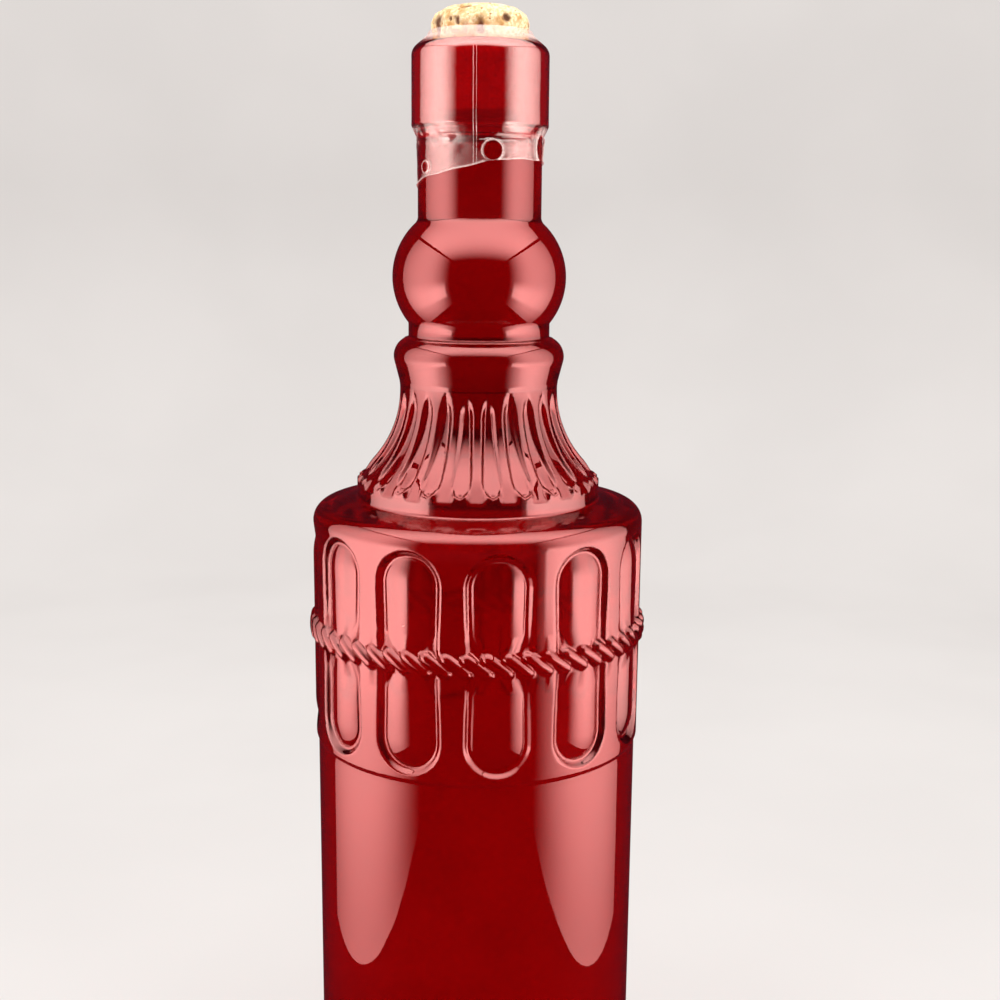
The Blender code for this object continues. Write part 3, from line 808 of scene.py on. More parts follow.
def cork_skin():
    """The plug's points and how hollow each one is. A point moves towards the middle by chips + grain +
    waves + pits, and in the bore by a share of the pits alone. Chips are depth (noise - threshold),
    where that is over 0."""
    outline = cork_outline()
    smooth = turned(outline, CORK_COLUMNS, UPPER_TURN)
    free = smooth_step((outline[:, 1] - LIP_Z + 1.5) / 2.0)[:, None]  # where no glass squeezes the cork
    chips = np.maximum(lumps(smooth, CHIP_SIZE, 3) - CHIP_THRESHOLD, 0.0) * CHIP_DEPTH
    grain = sum(depth * lumps(smooth, size, seed) for depth, size, seed in GRAINS)
    waves = WAVE_DEPTH * lumps(smooth, WAVE_SIZE, 6)
    pits = pit_depth(smooth, CORK_PITS, 7)
    pits = pits * (PITS_IN_BORE + (1.0 - PITS_IN_BORE) * free)
    inwards = free * (chips + grain + waves + CORK_PLAY) + pits
    middle = np.array([0.0, 0.0, (CORK_TOP_Z + cork_bottom) / 2.0])
    direction = smooth - middle
    direction[..., 2] *= TOP_FLATNESS
    direction /= np.maximum(np.linalg.norm(direction, axis=-1, keepdims=True), 1e-6)
    return smooth - direction * inwards[..., None], np.clip(inwards / DEEPEST_HOLLOW, 0.0, 1.0)


cork_points, cork_depth = cork_skin()
cork = skin("cork_plug", [pole(cork_bottom + 0.2), cork_points, pole(cork_points[-1, :, 2].mean())])
hollow = cork.data.attributes.new("hollow", "FLOAT", "POINT")
hollow.data.foreach_set("value", np.concatenate([[0.0], cork_depth.ravel(), [0.0]]).astype(np.float32))

# %% [markdown]
# ## The film
#
# The sleeve was a flat tube, welded along one side and punched with vent holes, and hot air shrank it
# on. It clings to the collar, leans over to the neck below it in small creases, and was cut on a slant.
# We lay its inner sheet over the glass and its outer sheet less than a tenth of a millimetre over that,
# and cut the vents out of both. The heat draws the film back from a hole, so each one has a thicker
# rim, and an attribute named thick keeps where that is.

# %% The film's columns
FILM_COLUMNS = 420
SEAM_TURN = -4.4
SEAM_CROWD = 5.0
SEAM_SPREAD = 0.04  # radians
# Each vent: degrees round the axis, height, half width and half height
VENTS = [(11.2, 277.2, 2.0, 2.0), (67.3, 278.1, 2.0, 2.7), (140.0, 276.0, 1.9, 2.1)]
VENTS += [(221.0, 273.2, 2.0, 1.9), (302.9, 273.95, 1.25, 1.1)]
VENT_CROWD = 1.0
VENT_SPREAD = 0.19  # radians


def film_angles():
    """Angles of the film's columns, which gather at the weld and at the vents. The share of the
    columns up to an angle is the running sum of 1 + the sum of crowd * exp(-(distance / spread)^2)
    over those places."""
    grid = np.linspace(0.0, 2.0 * np.pi, 2001)
    density = 1.0 + SEAM_CROWD * np.exp(-((from_nearest(grid, 1, SEAM_TURN) / SEAM_SPREAD) ** 2))
    for vent in VENTS:
        density += VENT_CROWD * np.exp(-((from_nearest(grid, 1, vent[0]) / VENT_SPREAD) ** 2))
    total = np.concatenate([[0.0], np.cumsum((density[1:] + density[:-1]) / 2.0)])
    return np.interp(np.arange(FILM_COLUMNS) / FILM_COLUMNS, total / total[-1], grid)


print("the film has", FILM_COLUMNS, "columns and", len(VENTS), "vents")

# %% The course of the film over the glass
FILM_CLING = 0.05
FILM_TOP_Z = 302.0
FILM_EDGE_Z = 272.6
FILM_EDGE_RISE = (2.4, 1.9)  # to the right and to the front
FILM_EDGE_WAVES = [(0.16, 5.0, 0.4), (0.09, 11.0, 0.0)]  # height, waves round the neck, start in radians
FILM_NECK_ROWS = 34
FILM_COLLAR_ROWS = 16
FILM_LEANS_FROM = 2.4  # under the collar
FILM_LIP_ANGLE = 52.0


def film_edge(angle):
    """Height of the lower edge: a slanting cut, middle + rise right sin a + rise front cos a, with
    small waves."""
    right, front = FILM_EDGE_RISE
    slant = FILM_EDGE_Z + right * np.sin(angle) + front * np.cos(angle)
    return slant + sum(height * np.sin(count * angle + start) for height, count, start in FILM_EDGE_WAVES)


def film_outline_rows(angle):
    """(radius, z) of the film for each row and column: up the neck from its slanting edge, across to
    the collar, up the collar, round the lip and up the cork's foot."""
    edge = film_edge(angle)
    neck = NECK_RADIUS + FILM_CLING
    collar = COLLAR_RADIUS + FILM_CLING
    share = np.linspace(0.0, 1.0, FILM_NECK_ROWS)[:, None]
    top_of_neck = COLLAR_BOTTOM_Z - FILM_LEANS_FROM
    neck_z = edge + share * (top_of_neck - edge)
    neck_r = np.full_like(neck_z, neck)
    bridge = rounded([(neck, top_of_neck, 0.0), (neck + 0.05, COLLAR_BOTTOM_Z - 1.8, 0.8)] +
                     [(collar, COLLAR_BOTTOM_Z + 0.3, 0.9), (collar, COLLAR_BOTTOM_Z + 1.6, 0.0)], 8)[1:]
    collar_z = np.linspace(COLLAR_BOTTOM_Z + 1.6, LIP_Z - LIP_ARC, FILM_COLLAR_ROWS)[1:-1]
    side = np.column_stack([np.full_like(collar_z, collar), collar_z])
    lip = arc(COLLAR_RADIUS - LIP_ARC, LIP_Z - LIP_ARC, LIP_ARC + FILM_CLING, 0.0, FILM_LIP_ANGLE, 9)
    over = rounded([(*lip[-1], 0.0), (CORK_RADIUS + 0.7, FILM_TOP_Z - 0.6, 1.2),
                    (CORK_RADIUS + 0.2, FILM_TOP_Z + 0.4, 0.0)], 8)
    turned_part = np.vstack([bridge, side, lip, over[1:]])
    ones = np.ones_like(angle)
    radius = np.vstack([neck_r, turned_part[:, :1] * ones])
    z = np.vstack([neck_z, turned_part[:, 1:] * ones])
    return radius, z


print("the film's lower edge, in front and behind:", film_edge(np.radians([0.0, 180.0])).round(1), "mm")

# %% Creases, weld and rims
SEAM_WIDTH = 0.32
SEAM_HEIGHT = 0.12
WELD_EDGE = 0.2
RIM_WIDTH = 0.36
RIM_HEIGHT = 0.36
EDGE_WIDTH = 0.3
EDGE_HEIGHT = 0.15
CREASE_SIZE = 1.0
CREASE_HEIGHT = 0.6
CREASE_STRETCH = 0.22  # less than 1 makes the creases run round the neck
CREASE_PLACE = (2.2, 1.9)  # under the collar, and how far they spread
SLACK = [(0.16, 4.2, 22), (0.03, 1.3, 23)]  # height, size and seed
RIPPLE_HEIGHT = 0.018
RIPPLE_SIZE = 2.6


def film_relief(angle, z, radius):
    """How far the film stands off its smooth course: creases under the collar, slack on the neck,
    the weld, and the rims of the vents and of the lower edge."""
    angle, z = np.broadcast_arrays(angle, z)
    flat = np.stack([angle * NECK_RADIUS * CREASE_STRETCH, z * 1.0, z * 0.0 + 3.0], axis=-1)
    below, spread = CREASE_PLACE
    under_collar = np.exp(-(((z - COLLAR_BOTTOM_Z + below) / spread) ** 2))
    creases = CREASE_HEIGHT * np.abs(lumps(flat, CREASE_SIZE, 21)) * under_collar
    broad = np.stack([angle * NECK_RADIUS, z, z * 0.0 + 9.0], axis=-1)
    on_neck = smooth_step((COLLAR_BOTTOM_Z - z) / 2.0)
    loose, fine = [height * lumps(broad, size, seed) for height, size, seed in SLACK]
    slack = (np.maximum(loose, 0.0) + fine) * on_neck
    ripple = RIPPLE_HEIGHT * lumps(broad, RIPPLE_SIZE, 24)
    from_seam = from_nearest(angle, 1, SEAM_TURN) * radius
    weld = SEAM_HEIGHT * smooth_step((SEAM_WIDTH - np.abs(from_seam)) / WELD_EDGE + 0.5)
    rims = np.zeros_like(z)
    for turn, height, half_width, half_height in VENTS:
        across = from_nearest(angle, 1, turn) * NECK_RADIUS / half_width
        ring = np.hypot(across, (z - height) / half_height) - 1.0
        rims = np.maximum(rims, RIM_HEIGHT * np.exp(-((ring * half_width / RIM_WIDTH) ** 2)))
    edge_roll = EDGE_HEIGHT * np.exp(-(((z - film_edge(angle)) / EDGE_WIDTH) ** 2))
    return np.maximum(creases + slack + ripple, -FILM_CLING / 2.0) + weld + rims * on_neck + edge_roll


print("the weld stands", SEAM_HEIGHT, "mm off the film, and a rim", RIM_HEIGHT, "mm")

# %% The film's two sheets
FILM_THICKNESS = 0.07


def film_sheets():
    """The outer sheet from its lower edge up, and the inner sheet back down."""
    angle = film_angles()[None, :]
    radius, z = film_outline_rows(angle)
    relief = film_relief(angle, z, radius)
    inner = rings(angle, radius + relief, z)
    rise = np.gradient(z, axis=0)
    run = np.gradient(radius, axis=0)
    length = np.hypot(rise, run)
    outer_radius = radius + relief + FILM_THICKNESS * rise / length
    outer = rings(angle, outer_radius, z - FILM_THICKNESS * run / length)
    return outer, inner[::-1]


outer_sheet, inner_sheet = film_sheets()
print("rings of each sheet:", len(outer_sheet))

# %% Build the film and cut its vents


def thick_places(piece):
    """Keeps, for each point, how thick the heat drew the film there: exp(-(distance / width)^2) from
    the rim of the nearest vent or from the lower edge, whichever is more."""
    points = np.empty(len(piece.data.vertices) * 3, np.float32)
    piece.data.vertices.foreach_get("co", points)
    x, y, z = points.reshape(-1, 3).T / MM
    angle = np.arctan2(x, -y)
    edge = np.exp(-(((z - film_edge(angle)) / EDGE_WIDTH) ** 2))
    for turn, height, half_width, half_height in VENTS:
        across = from_nearest(angle, 1, turn) * NECK_RADIUS / half_width
        ring = np.hypot(across, (z - height) / half_height) - 1.0
        edge = np.maximum(edge, np.exp(-((ring * half_width / RIM_WIDTH) ** 2)))
    thick = piece.data.attributes.new("thick", "FLOAT", "POINT")
    thick.data.foreach_set("value", edge.astype(np.float32))


def punch(piece, holes):
    """Cuts an upright oval hole through the piece for each (turn, z, half width, half height)."""
    for turn, height, half_width, half_height in holes:
        bpy.ops.mesh.primitive_cylinder_add(vertices=40, radius=MM, depth=5.0 * MM)
        rod = bpy.context.object
        direction = Vector((np.sin(np.radians(turn)), -np.cos(np.radians(turn)), 0.0))
        rod.scale = (half_width, half_height, 1.0)
        rod.rotation_mode = "QUATERNION"
        rod.rotation_quaternion = direction.to_track_quat("Z", "Y")
        rod.location = direction * NECK_RADIUS * MM + Vector((0.0, 0.0, height * MM))
        cut = piece.modifiers.new("vent", "BOOLEAN")
        cut.operation = "DIFFERENCE"
        cut.object = rod
        rod.hide_render = True
    bpy.context.view_layer.update()
    graph = bpy.context.evaluated_depsgraph_get()
    whole = bpy.data.meshes.new_from_object(piece.evaluated_get(graph), depsgraph=graph)
    for modifier in list(piece.modifiers):
        rod = modifier.object
        piece.modifiers.remove(modifier)
        bpy.data.objects.remove(rod)
    piece.data = whole
    piece.data.name = piece.name
    print(piece.name, "has", len(whole.polygons), "faces after its vents were cut")


film = skin("shrink_film_skin", [outer_sheet, inner_sheet], crease=60.0, closed=True)
punch(film, VENTS)
thick_places(film)

# %% [markdown]
# ## Effects that several finishes share
#
# Two effects come back on almost every surface here: an uneven swell, as on moulded glass, shrunk film
# and cork, and small specks, which are dust on glass and pores in cork. Each is one node group with
# named inputs, so that every material sets its own size and strength. Both read Object coordinates, in
# metres.

# %% Node helpers


def new_group(name, inputs, outputs):
    """An empty shader group with these float inputs (name, default) and outputs. Returns it with its
    two ends."""
    tree = bpy.data.node_groups.new(name, "ShaderNodeTree")
    for label, value in inputs:
        socket = tree.interface.new_socket(label, in_out="INPUT", socket_type="NodeSocketFloat")
        socket.default_value = value
    for label in outputs:
        tree.interface.new_socket(label, in_out="OUTPUT", socket_type="NodeSocketFloat")
    return tree, tree.nodes.new("NodeGroupInput"), tree.nodes.new("NodeGroupOutput")


def add(tree, kind, settings=None, **inputs):
    """A node of this kind. settings are its properties, and inputs its sockets: a value, or a socket
    to link."""
    node = tree.nodes.new(kind)
    for name, value in (settings or {}).items():
        setattr(node, name, value)
    for name, value in inputs.items():
        socket = node.inputs[int(name[1:])] if name[0] == "_" else node.inputs[name.replace("_", " ")]
        if isinstance(value, bpy.types.NodeSocket):
            tree.links.new(value, socket)
        else:
            socket.default_value = value
    return node


def new_material(name):
    """An empty material with a Principled shader. Returns the material, its tree and the shader."""
    material = bpy.data.materials.new(name)
    material.use_nodes = True
    tree = material.node_tree
    return material, tree, tree.nodes["Principled BSDF"]


def use_group(tree, group, **inputs):
    """The shared group as a node of this material, with its own values."""
    return add(tree, "ShaderNodeGroup", {"node_tree": group}, **inputs)


def two_colours(tree, mask, first, second):
    """A mix of two colours by a mask."""
    mix = add(tree, "ShaderNodeMix", {"data_type": "RGBA"}, _0=mask)
    for socket, colour in ((mix.inputs[6], first), (mix.inputs[7], second)):
        if isinstance(colour, bpy.types.NodeSocket):
            tree.links.new(colour, socket)
        else:
            socket.default_value = (*colour, 1.0)
    return mix.outputs[2]


print("node helpers:", [helper.__name__ for helper in (new_group, add, new_material, use_group, two_colours)])

# %% Shared groups


def uneven_swell():
    """Soft noise of the given size. Height is from 0 to 1, and Mask is its upper part, from Low to
    High."""
    tree, start, end = new_group(
        "uneven_swell", [("Scale", 100.0), ("Detail", 2.0), ("Low", 0.4), ("High", 0.6)], ["Height", "Mask"]
    )
    place = add(tree, "ShaderNodeTexCoord")
    noise = add(tree, "ShaderNodeTexNoise", Vector=place.outputs["Object"], Scale=start.outputs["Scale"],
                Detail=start.outputs["Detail"])
    mask = add(tree, "ShaderNodeMapRange", {"interpolation_type": "SMOOTHSTEP"}, Value=noise.outputs["Fac"],
               From_Min=start.outputs["Low"], From_Max=start.outputs["High"])
    tree.links.new(noise.outputs["Fac"], end.inputs["Height"])
    tree.links.new(mask.outputs["Result"], end.inputs["Mask"])
    return tree


def specks():
    """Round specks: Voronoi cells of the given scale, of which the share Share holds a speck of
    radius Size."""
    tree, start, end = new_group("specks", [("Scale", 800.0), ("Size", 0.2), ("Share", 0.1)], ["Mask"])
    place = add(tree, "ShaderNodeTexCoord")
    cells = add(tree, "ShaderNodeTexVoronoi", Vector=place.outputs["Object"], Scale=start.outputs["Scale"])
    spot = add(tree, "ShaderNodeMath", {"operation": "LESS_THAN"}, _0=cells.outputs["Distance"],
               _1=start.outputs["Size"])
    pick = add(tree, "ShaderNodeSeparateColor", Color=cells.outputs["Color"])
    chosen = add(tree, "ShaderNodeMath", {"operation": "LESS_THAN"}, _0=pick.outputs["Red"],
                 _1=start.outputs["Share"])
    both = add(tree, "ShaderNodeMath", {"operation": "MULTIPLY"}, _0=spot.outputs[0], _1=chosen.outputs[0])
    tree.links.new(both.outputs[0], end.inputs["Mask"])
    return tree


SWELL = uneven_swell()
SPECKS = specks()
print("shared groups:", SWELL.name, SPECKS.name)

# %% [markdown]
# ## Ruby glass and the red drink
#
# Ruby glass lets hardly any green or blue through. Its wall is even in thickness, so the colour is
# taken where the light passes a surface, which is much quicker to compute than a colour inside the
# wall. Round the cone the wall is thicker, so the glass is darker there. The mould leaves a faint swell
# on the outside, and a few specks of dust lie on it.

# %% Glass material
THICK_Z = 218.0
THICK_HALF_HEIGHT = (11.0, 19.0)  # where the darker tint begins and ends to fade
GLASS_TINTS = ((0.525, 0.004, 0.008), (0.575, 0.006, 0.010))
THICK_TINT = (0.46, 0.003, 0.006)
DUST_TINT = (0.9, 0.55, 0.5)
GLASS_ROUGHNESS = (0.008, 0.05)  # clean and smudged


def ruby_glass():
    """Moulded glass: two tints by a soft swell, darker round the cone, with smudges and a few specks
    of dust."""
    material, tree, shader = new_material("ruby_glass_finish")
    swell = use_group(tree, SWELL, Scale=55.0, Detail=1.0, Low=0.35, High=0.65)
    smudge = use_group(tree, SWELL, Scale=28.0, Detail=4.0, Low=0.52, High=0.75)
    dust = use_group(tree, SPECKS, Scale=260.0, Size=0.07, Share=0.02)
    tint = two_colours(tree, swell.outputs["Mask"], *GLASS_TINTS)
    place = add(tree, "ShaderNodeTexCoord")
    split = add(tree, "ShaderNodeSeparateXYZ", Vector=place.outputs["Object"])
    from_cone = add(tree, "ShaderNodeMath", {"operation": "SUBTRACT"}, _0=split.outputs["Z"],
                    _1=THICK_Z * MM)
    away = add(tree, "ShaderNodeMath", {"operation": "ABSOLUTE"}, _0=from_cone.outputs[0])
    near, far = THICK_HALF_HEIGHT
    thick = add(tree, "ShaderNodeMapRange", {"interpolation_type": "SMOOTHSTEP"}, Value=away.outputs[0],
                From_Min=near * MM, From_Max=far * MM, To_Min=1.0, To_Max=0.0)
    tint = two_colours(tree, thick.outputs["Result"], tint, THICK_TINT)
    base = two_colours(tree, dust.outputs["Mask"], tint, DUST_TINT)
    tree.links.new(base, shader.inputs["Base Color"])
    clean, smudged = GLASS_ROUGHNESS
    rough = add(tree, "ShaderNodeMapRange", Value=smudge.outputs["Mask"], To_Min=clean, To_Max=smudged)
    tree.links.new(rough.outputs["Result"], shader.inputs["Roughness"])
    bump = add(tree, "ShaderNodeBump", Strength=0.25, Distance=0.12 * MM, Height=swell.outputs["Height"])
    tree.links.new(bump.outputs["Normal"], shader.inputs["Normal"])
    shader.inputs["IOR"].default_value = 1.52
    shader.inputs["Transmission Weight"].default_value = 1.0
    return material


glass_material = ruby_glass()
print("glass:", glass_material.name)

# %% Drink material
DRINK_TINTS = ((0.80, 0.012, 0.010), (0.84, 0.015, 0.012))


def ruby_drink():
    """A clear red drink. It is a little rough, which blurs the far side of the bottle as a cloudy
    drink does."""
    material, tree, shader = new_material("ruby_drink_finish")
    swell = use_group(tree, SWELL, Scale=30.0, Detail=1.0, Low=0.3, High=0.7)
    base = two_colours(tree, swell.outputs["Mask"], *DRINK_TINTS)
    tree.links.new(base, shader.inputs["Base Color"])
    shader.inputs["Roughness"].default_value = 0.15
    shader.inputs["IOR"].default_value = 1.35
    shader.inputs["Transmission Weight"].default_value = 1.0
    return material


drink_material = ruby_drink()
print("drink:", drink_material.name)

# %% [markdown]
# ## Cork
#
# Cork is pale where it was cut clean and brown in its pores and cracks. The attribute hollow, which we
# kept from the shape, is large in the pits and dents, and there the colour goes almost black: the
# pores' brown with painted shade over it. A coarse mask adds brown patches, a fine one the grain, and
# specks the smallest pores. The part in the bore is darker and redder: painted shade of the ruby glass
# round it, which casts no shadow here.

# %% Cork material
# The part of the cork in the neck is darker and redder: painted shade of the ruby glass, which casts no
# shadow
GLASS_SHADE_FROM_Z = 301.0
GLASS_SHADE_TO_Z = 296.0
GLASS_SHADE = 0.75
GLASS_SHADE_COLOUR = (0.16, 0.03, 0.02)
CORK_CREAMS = ((0.60, 0.43, 0.22), (0.80, 0.66, 0.42))
CORK_PATCH = (0.44, 0.25, 0.08)
CORK_PORE = (0.30, 0.16, 0.06)
# Almost black: the pores' brown with painted shade in the deepest pits and dents
CORK_PIT_BROWN_AND_SHADE = (0.10, 0.035, 0.012)
HOLLOW_FROM = 0.45
CORK_ROUGHNESS = (0.7, 0.95)


def natural_cork():
    """Cream by grain, then brown patches, small pores, painted shade of the glass on the part in the
    neck, and almost black in the deepest pits and dents, the pores' brown with painted shade, each
    over the last."""
    material, tree, shader = new_material("natural_cork_finish")
    hollow_mask = add(tree, "ShaderNodeAttribute", {"attribute_name": "hollow"})
    patches = use_group(tree, SWELL, Scale=320.0, Detail=5.0, Low=0.50, High=0.66)
    grain = use_group(tree, SWELL, Scale=1500.0, Detail=4.0, Low=0.42, High=0.62)
    pores = use_group(tree, SPECKS, Scale=1100.0, Size=0.28, Share=0.22)
    cream = two_colours(tree, grain.outputs["Mask"], *CORK_CREAMS)
    patched = two_colours(tree, patches.outputs["Mask"], cream, CORK_PATCH)
    porous = two_colours(tree, pores.outputs["Mask"], patched, CORK_PORE)
    place = add(tree, "ShaderNodeTexCoord")
    split = add(tree, "ShaderNodeSeparateXYZ", Vector=place.outputs["Object"])
    # Painted shade of the ruby glass round the neck, from the lip down
    glass_shade = add(tree, "ShaderNodeMapRange", {"interpolation_type": "SMOOTHSTEP"}, Value=split.outputs["Z"],
                From_Min=GLASS_SHADE_TO_Z * MM, From_Max=GLASS_SHADE_FROM_Z * MM, To_Min=GLASS_SHADE, To_Max=0.0)
    glass_shaded = two_colours(tree, glass_shade.outputs["Result"], porous, GLASS_SHADE_COLOUR)
    # Painted shade: the deeper the surface lies, the darker, in chips and dents as well as in pits
    deep = add(tree, "ShaderNodeMapRange", Value=hollow_mask.outputs["Fac"], From_Min=HOLLOW_FROM,
               From_Max=1.0)
    base = two_colours(tree, deep.outputs["Result"], glass_shaded, CORK_PIT_BROWN_AND_SHADE)
    tree.links.new(base, shader.inputs["Base Color"])
    smooth, coarse = CORK_ROUGHNESS
    rough = add(tree, "ShaderNodeMapRange", Value=grain.outputs["Height"], To_Min=smooth, To_Max=coarse)
    tree.links.new(rough.outputs["Result"], shader.inputs["Roughness"])
    bump = add(tree, "ShaderNodeBump", Strength=0.6, Distance=0.15 * MM, Height=grain.outputs["Height"])
    tree.links.new(bump.outputs["Normal"], shader.inputs["Normal"])
    return material


cork_material = natural_cork()
print("cork:", cork_material.name)

# %% [markdown]
# ## Clear film
#
# The film is clear plastic, far thinner than a drop of varnish. It bends nothing that is seen through
# it, so the shader is a Transparent one mixed with a mirror. How much it mirrors is Schlick's rule for
# plastic: 4 % head on and everything at a glancing angle. Both its faces mirror, in front of the glass,
# which is why the sleeve looks paler than the bare neck. Shrinking leaves a fine ripple, and where the
# film shrank the most, on the neck and over the lip, it is thick and a little cloudy, and most of all
# on the rims of its vents. On the collar it is stretched clear.

# %% Film material
FILM_MIRROR = 0.045
FILM_HAZE = 0.024
RIM_HAZE = 4.0
FILM_ROUGHNESS = 0.008
HAZE_ROUGHNESS = 0.45
CLEAR_FROM_Z = 281.5
CLEAR_TO_Z = 283.5
CLOUDY_FROM_Z = 299.2
CLOUDY_TO_Z = 301.0
CLOUDINESS = 0.065
COLLAR_HAZE = 0.12
# The cloudy mirror's pink is painted light: it stands in for the red glass's light scattered in the haze
FILM_MIRROR_AND_GLOW_COLOURS = ((0.98, 0.97, 0.96), (0.95, 0.85, 0.84))  # the mirror's, where clear and where cloudy
FILM_CLEAR = (0.985, 0.965, 0.965, 1.0)
SCHLICK_POWER = 5.0


def clear_film():
    """Transparent mixed with a mirror. Its share is mirror + (1 - mirror) facing^5, and more where
    it is hazy."""
    material, tree, shader = new_material("clear_film_finish")
    ripple = use_group(tree, SWELL, Scale=420.0, Detail=2.0, Low=0.4, High=0.6)
    haze = use_group(tree, SWELL, Scale=150.0, Detail=3.0, Low=0.38, High=0.64)
    place = add(tree, "ShaderNodeTexCoord")
    split = add(tree, "ShaderNodeSeparateXYZ", Vector=place.outputs["Object"])
    lip = add(tree, "ShaderNodeMapRange", {"interpolation_type": "SMOOTHSTEP"}, Value=split.outputs["Z"],
              From_Min=CLOUDY_FROM_Z * MM, From_Max=CLOUDY_TO_Z * MM)
    neck = add(tree, "ShaderNodeMapRange", {"interpolation_type": "SMOOTHSTEP"}, Value=split.outputs["Z"],
               From_Min=CLEAR_FROM_Z * MM, From_Max=CLEAR_TO_Z * MM, To_Min=1.0, To_Max=COLLAR_HAZE)
    thick = add(tree, "ShaderNodeAttribute", {"attribute_name": "thick"})
    rim = add(tree, "ShaderNodeMath", {"operation": "MULTIPLY"}, _0=thick.outputs["Fac"], _1=RIM_HAZE)
    veiled = add(tree, "ShaderNodeMath", {"operation": "ADD"}, _0=haze.outputs["Mask"], _1=rim.outputs[0])
    shrunk = add(tree, "ShaderNodeMath", {"operation": "MULTIPLY"}, _0=veiled.outputs[0],
                 _1=neck.outputs["Result"])
    cloudy = add(tree, "ShaderNodeMath", {"operation": "MAXIMUM"}, _0=shrunk.outputs[0],
                 _1=lip.outputs["Result"])
    # Where cloudy, the mirror is tinted pink: painted light of the red glass behind
    base = two_colours(tree, cloudy.outputs[0], *FILM_MIRROR_AND_GLOW_COLOURS)
    tree.links.new(base, shader.inputs["Base Color"])
    shader.inputs["Metallic"].default_value = 1.0
    rough = add(tree, "ShaderNodeMapRange", Value=cloudy.outputs[0], To_Min=FILM_ROUGHNESS,
                To_Max=HAZE_ROUGHNESS)
    tree.links.new(rough.outputs["Result"], shader.inputs["Roughness"])
    bump = add(tree, "ShaderNodeBump", Strength=0.35, Distance=0.06 * MM, Height=ripple.outputs["Height"])
    tree.links.new(bump.outputs["Normal"], shader.inputs["Normal"])
    facing = add(tree, "ShaderNodeLayerWeight", Blend=0.5, Normal=bump.outputs["Normal"])
    steep = add(tree, "ShaderNodeMath", {"operation": "POWER"}, _0=facing.outputs["Facing"], _1=SCHLICK_POWER)
    mirror = add(tree, "ShaderNodeMapRange", Value=steep.outputs[0], To_Min=FILM_MIRROR, To_Max=1.0)
    veil = add(tree, "ShaderNodeMath", {"operation": "MULTIPLY_ADD"}, _0=shrunk.outputs[0], _1=FILM_HAZE,
               _2=mirror.outputs["Result"])
    hazy = add(tree, "ShaderNodeMath", {"operation": "MULTIPLY_ADD", "use_clamp": True},
               _0=lip.outputs["Result"], _1=CLOUDINESS, _2=veil.outputs[0])
    clear = add(tree, "ShaderNodeBsdfTransparent", Color=FILM_CLEAR)
    mix = add(tree, "ShaderNodeMixShader", _0=hazy.outputs[0], _1=clear.outputs[0], _2=shader.outputs[0])
    tree.links.new(mix.outputs[0], tree.nodes["Material Output"].inputs["Surface"])
    return material


film_material = clear_film()
print("film:", film_material.name)

# %% Dress the pieces and put each in its node's place
for piece, node, slot, material in (
    (glass, "glass_bottle", "ruby_glass", glass_material),
    (drink, "drink", "ruby_drink", drink_material),
    (cork, "cork", "natural_cork", cork_material),
    (film, "shrink_film", "clear_film", film_material),
):
    piece.data.materials.clear()
    piece.data.materials.append(material)
    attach(piece, "root")
    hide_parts(node)
pieces = [glass, drink, cork, film]
print("pieces:", [piece.name for piece in pieces])

# %% [markdown]
# ## Camera
#
# The camera stands level with the neck, close to the bottle, and looks a little down, so the shoulder
# is seen from above and the lip from below.

# %% Camera
CAMERA_DISTANCE = 307.6
CAMERA_HEIGHT = 260.2
CAMERA_PITCH = 11.0
CAMERA_YAW = 0.935
CAMERA_ROLL = 0.506
CAMERA_LENS = 49.39
CAMERA_CLIP = 0.01  # metres

camera = bpy.data.objects.new("camera", bpy.data.cameras.new("camera"))
bpy.context.scene.collection.objects.link(camera)
camera.data.lens = CAMERA_LENS
camera.data.clip_start = CAMERA_CLIP
camera.location = (0.0, -CAMERA_DISTANCE * MM, CAMERA_HEIGHT * MM)
pitch, yaw = np.radians([CAMERA_PITCH, CAMERA_YAW])
looking = Vector((np.sin(yaw) * np.cos(pitch), np.cos(yaw) * np.cos(pitch), -np.sin(pitch)))
roll = Quaternion((0.0, 0.0, 1.0), np.radians(CAMERA_ROLL))
camera.rotation_mode = "QUATERNION"
camera.rotation_quaternion = looking.to_track_quat("-Z", "Y") @ roll
bpy.context.scene.camera = camera
print("camera looks along", [round(part, 3) for part in looking])

# %% [markdown]
# ## Stage and light
#
# The bottle stands in a small light tent: two tall soft panels beside it and one over it, open towards
# the camera. Glass shows what it mirrors, so the panels' edges draw the pale shapes on it, and the dark
# opening between them leaves its middle deep red. Each panel is brightest in the middle of its depth
# and fades towards its front, its back and its foot. A lamp shines on it from outside, which makes a
# brighter stripe at the height of the bottle's band, with a crisp front edge. The pale floor curves up
# into a wall, which is what shines through the glass. Matt surfaces get the even glow of such a pale
# room from the world, because light that really went from wall to wall would double the render time.
# Each material has its own copy of the panels: ruby glass glows where light falls on it, so the copy
# for the glass is salmon coloured, and the film mirrors the panels' own warm white. Glass and film cast
# no shadow, so that the end of the cork in the neck is lit as well.

# %% Stage
FLOOR_RADIUS = 700.0
COVE_RADIUS = 300.0
WALL_TOP = 1300.0
PAPER_WHITES = ((0.78, 0.77, 0.76), (0.81, 0.80, 0.79))


def stage_outline():
    """Floor, curved foot, wall and roof, so that no ray that passes the glass ends in the dark."""
    floor = np.linspace(40.0, FLOOR_RADIUS, 8)
    flat = np.column_stack([floor, np.zeros_like(floor)])
    cove = arc(FLOOR_RADIUS, COVE_RADIUS, COVE_RADIUS, -90.0, 0.0, 16)[1:]
    roof = arc(FLOOR_RADIUS, WALL_TOP, COVE_RADIUS, 0.0, 90.0, 8)
    return np.vstack([flat, cove, roof])


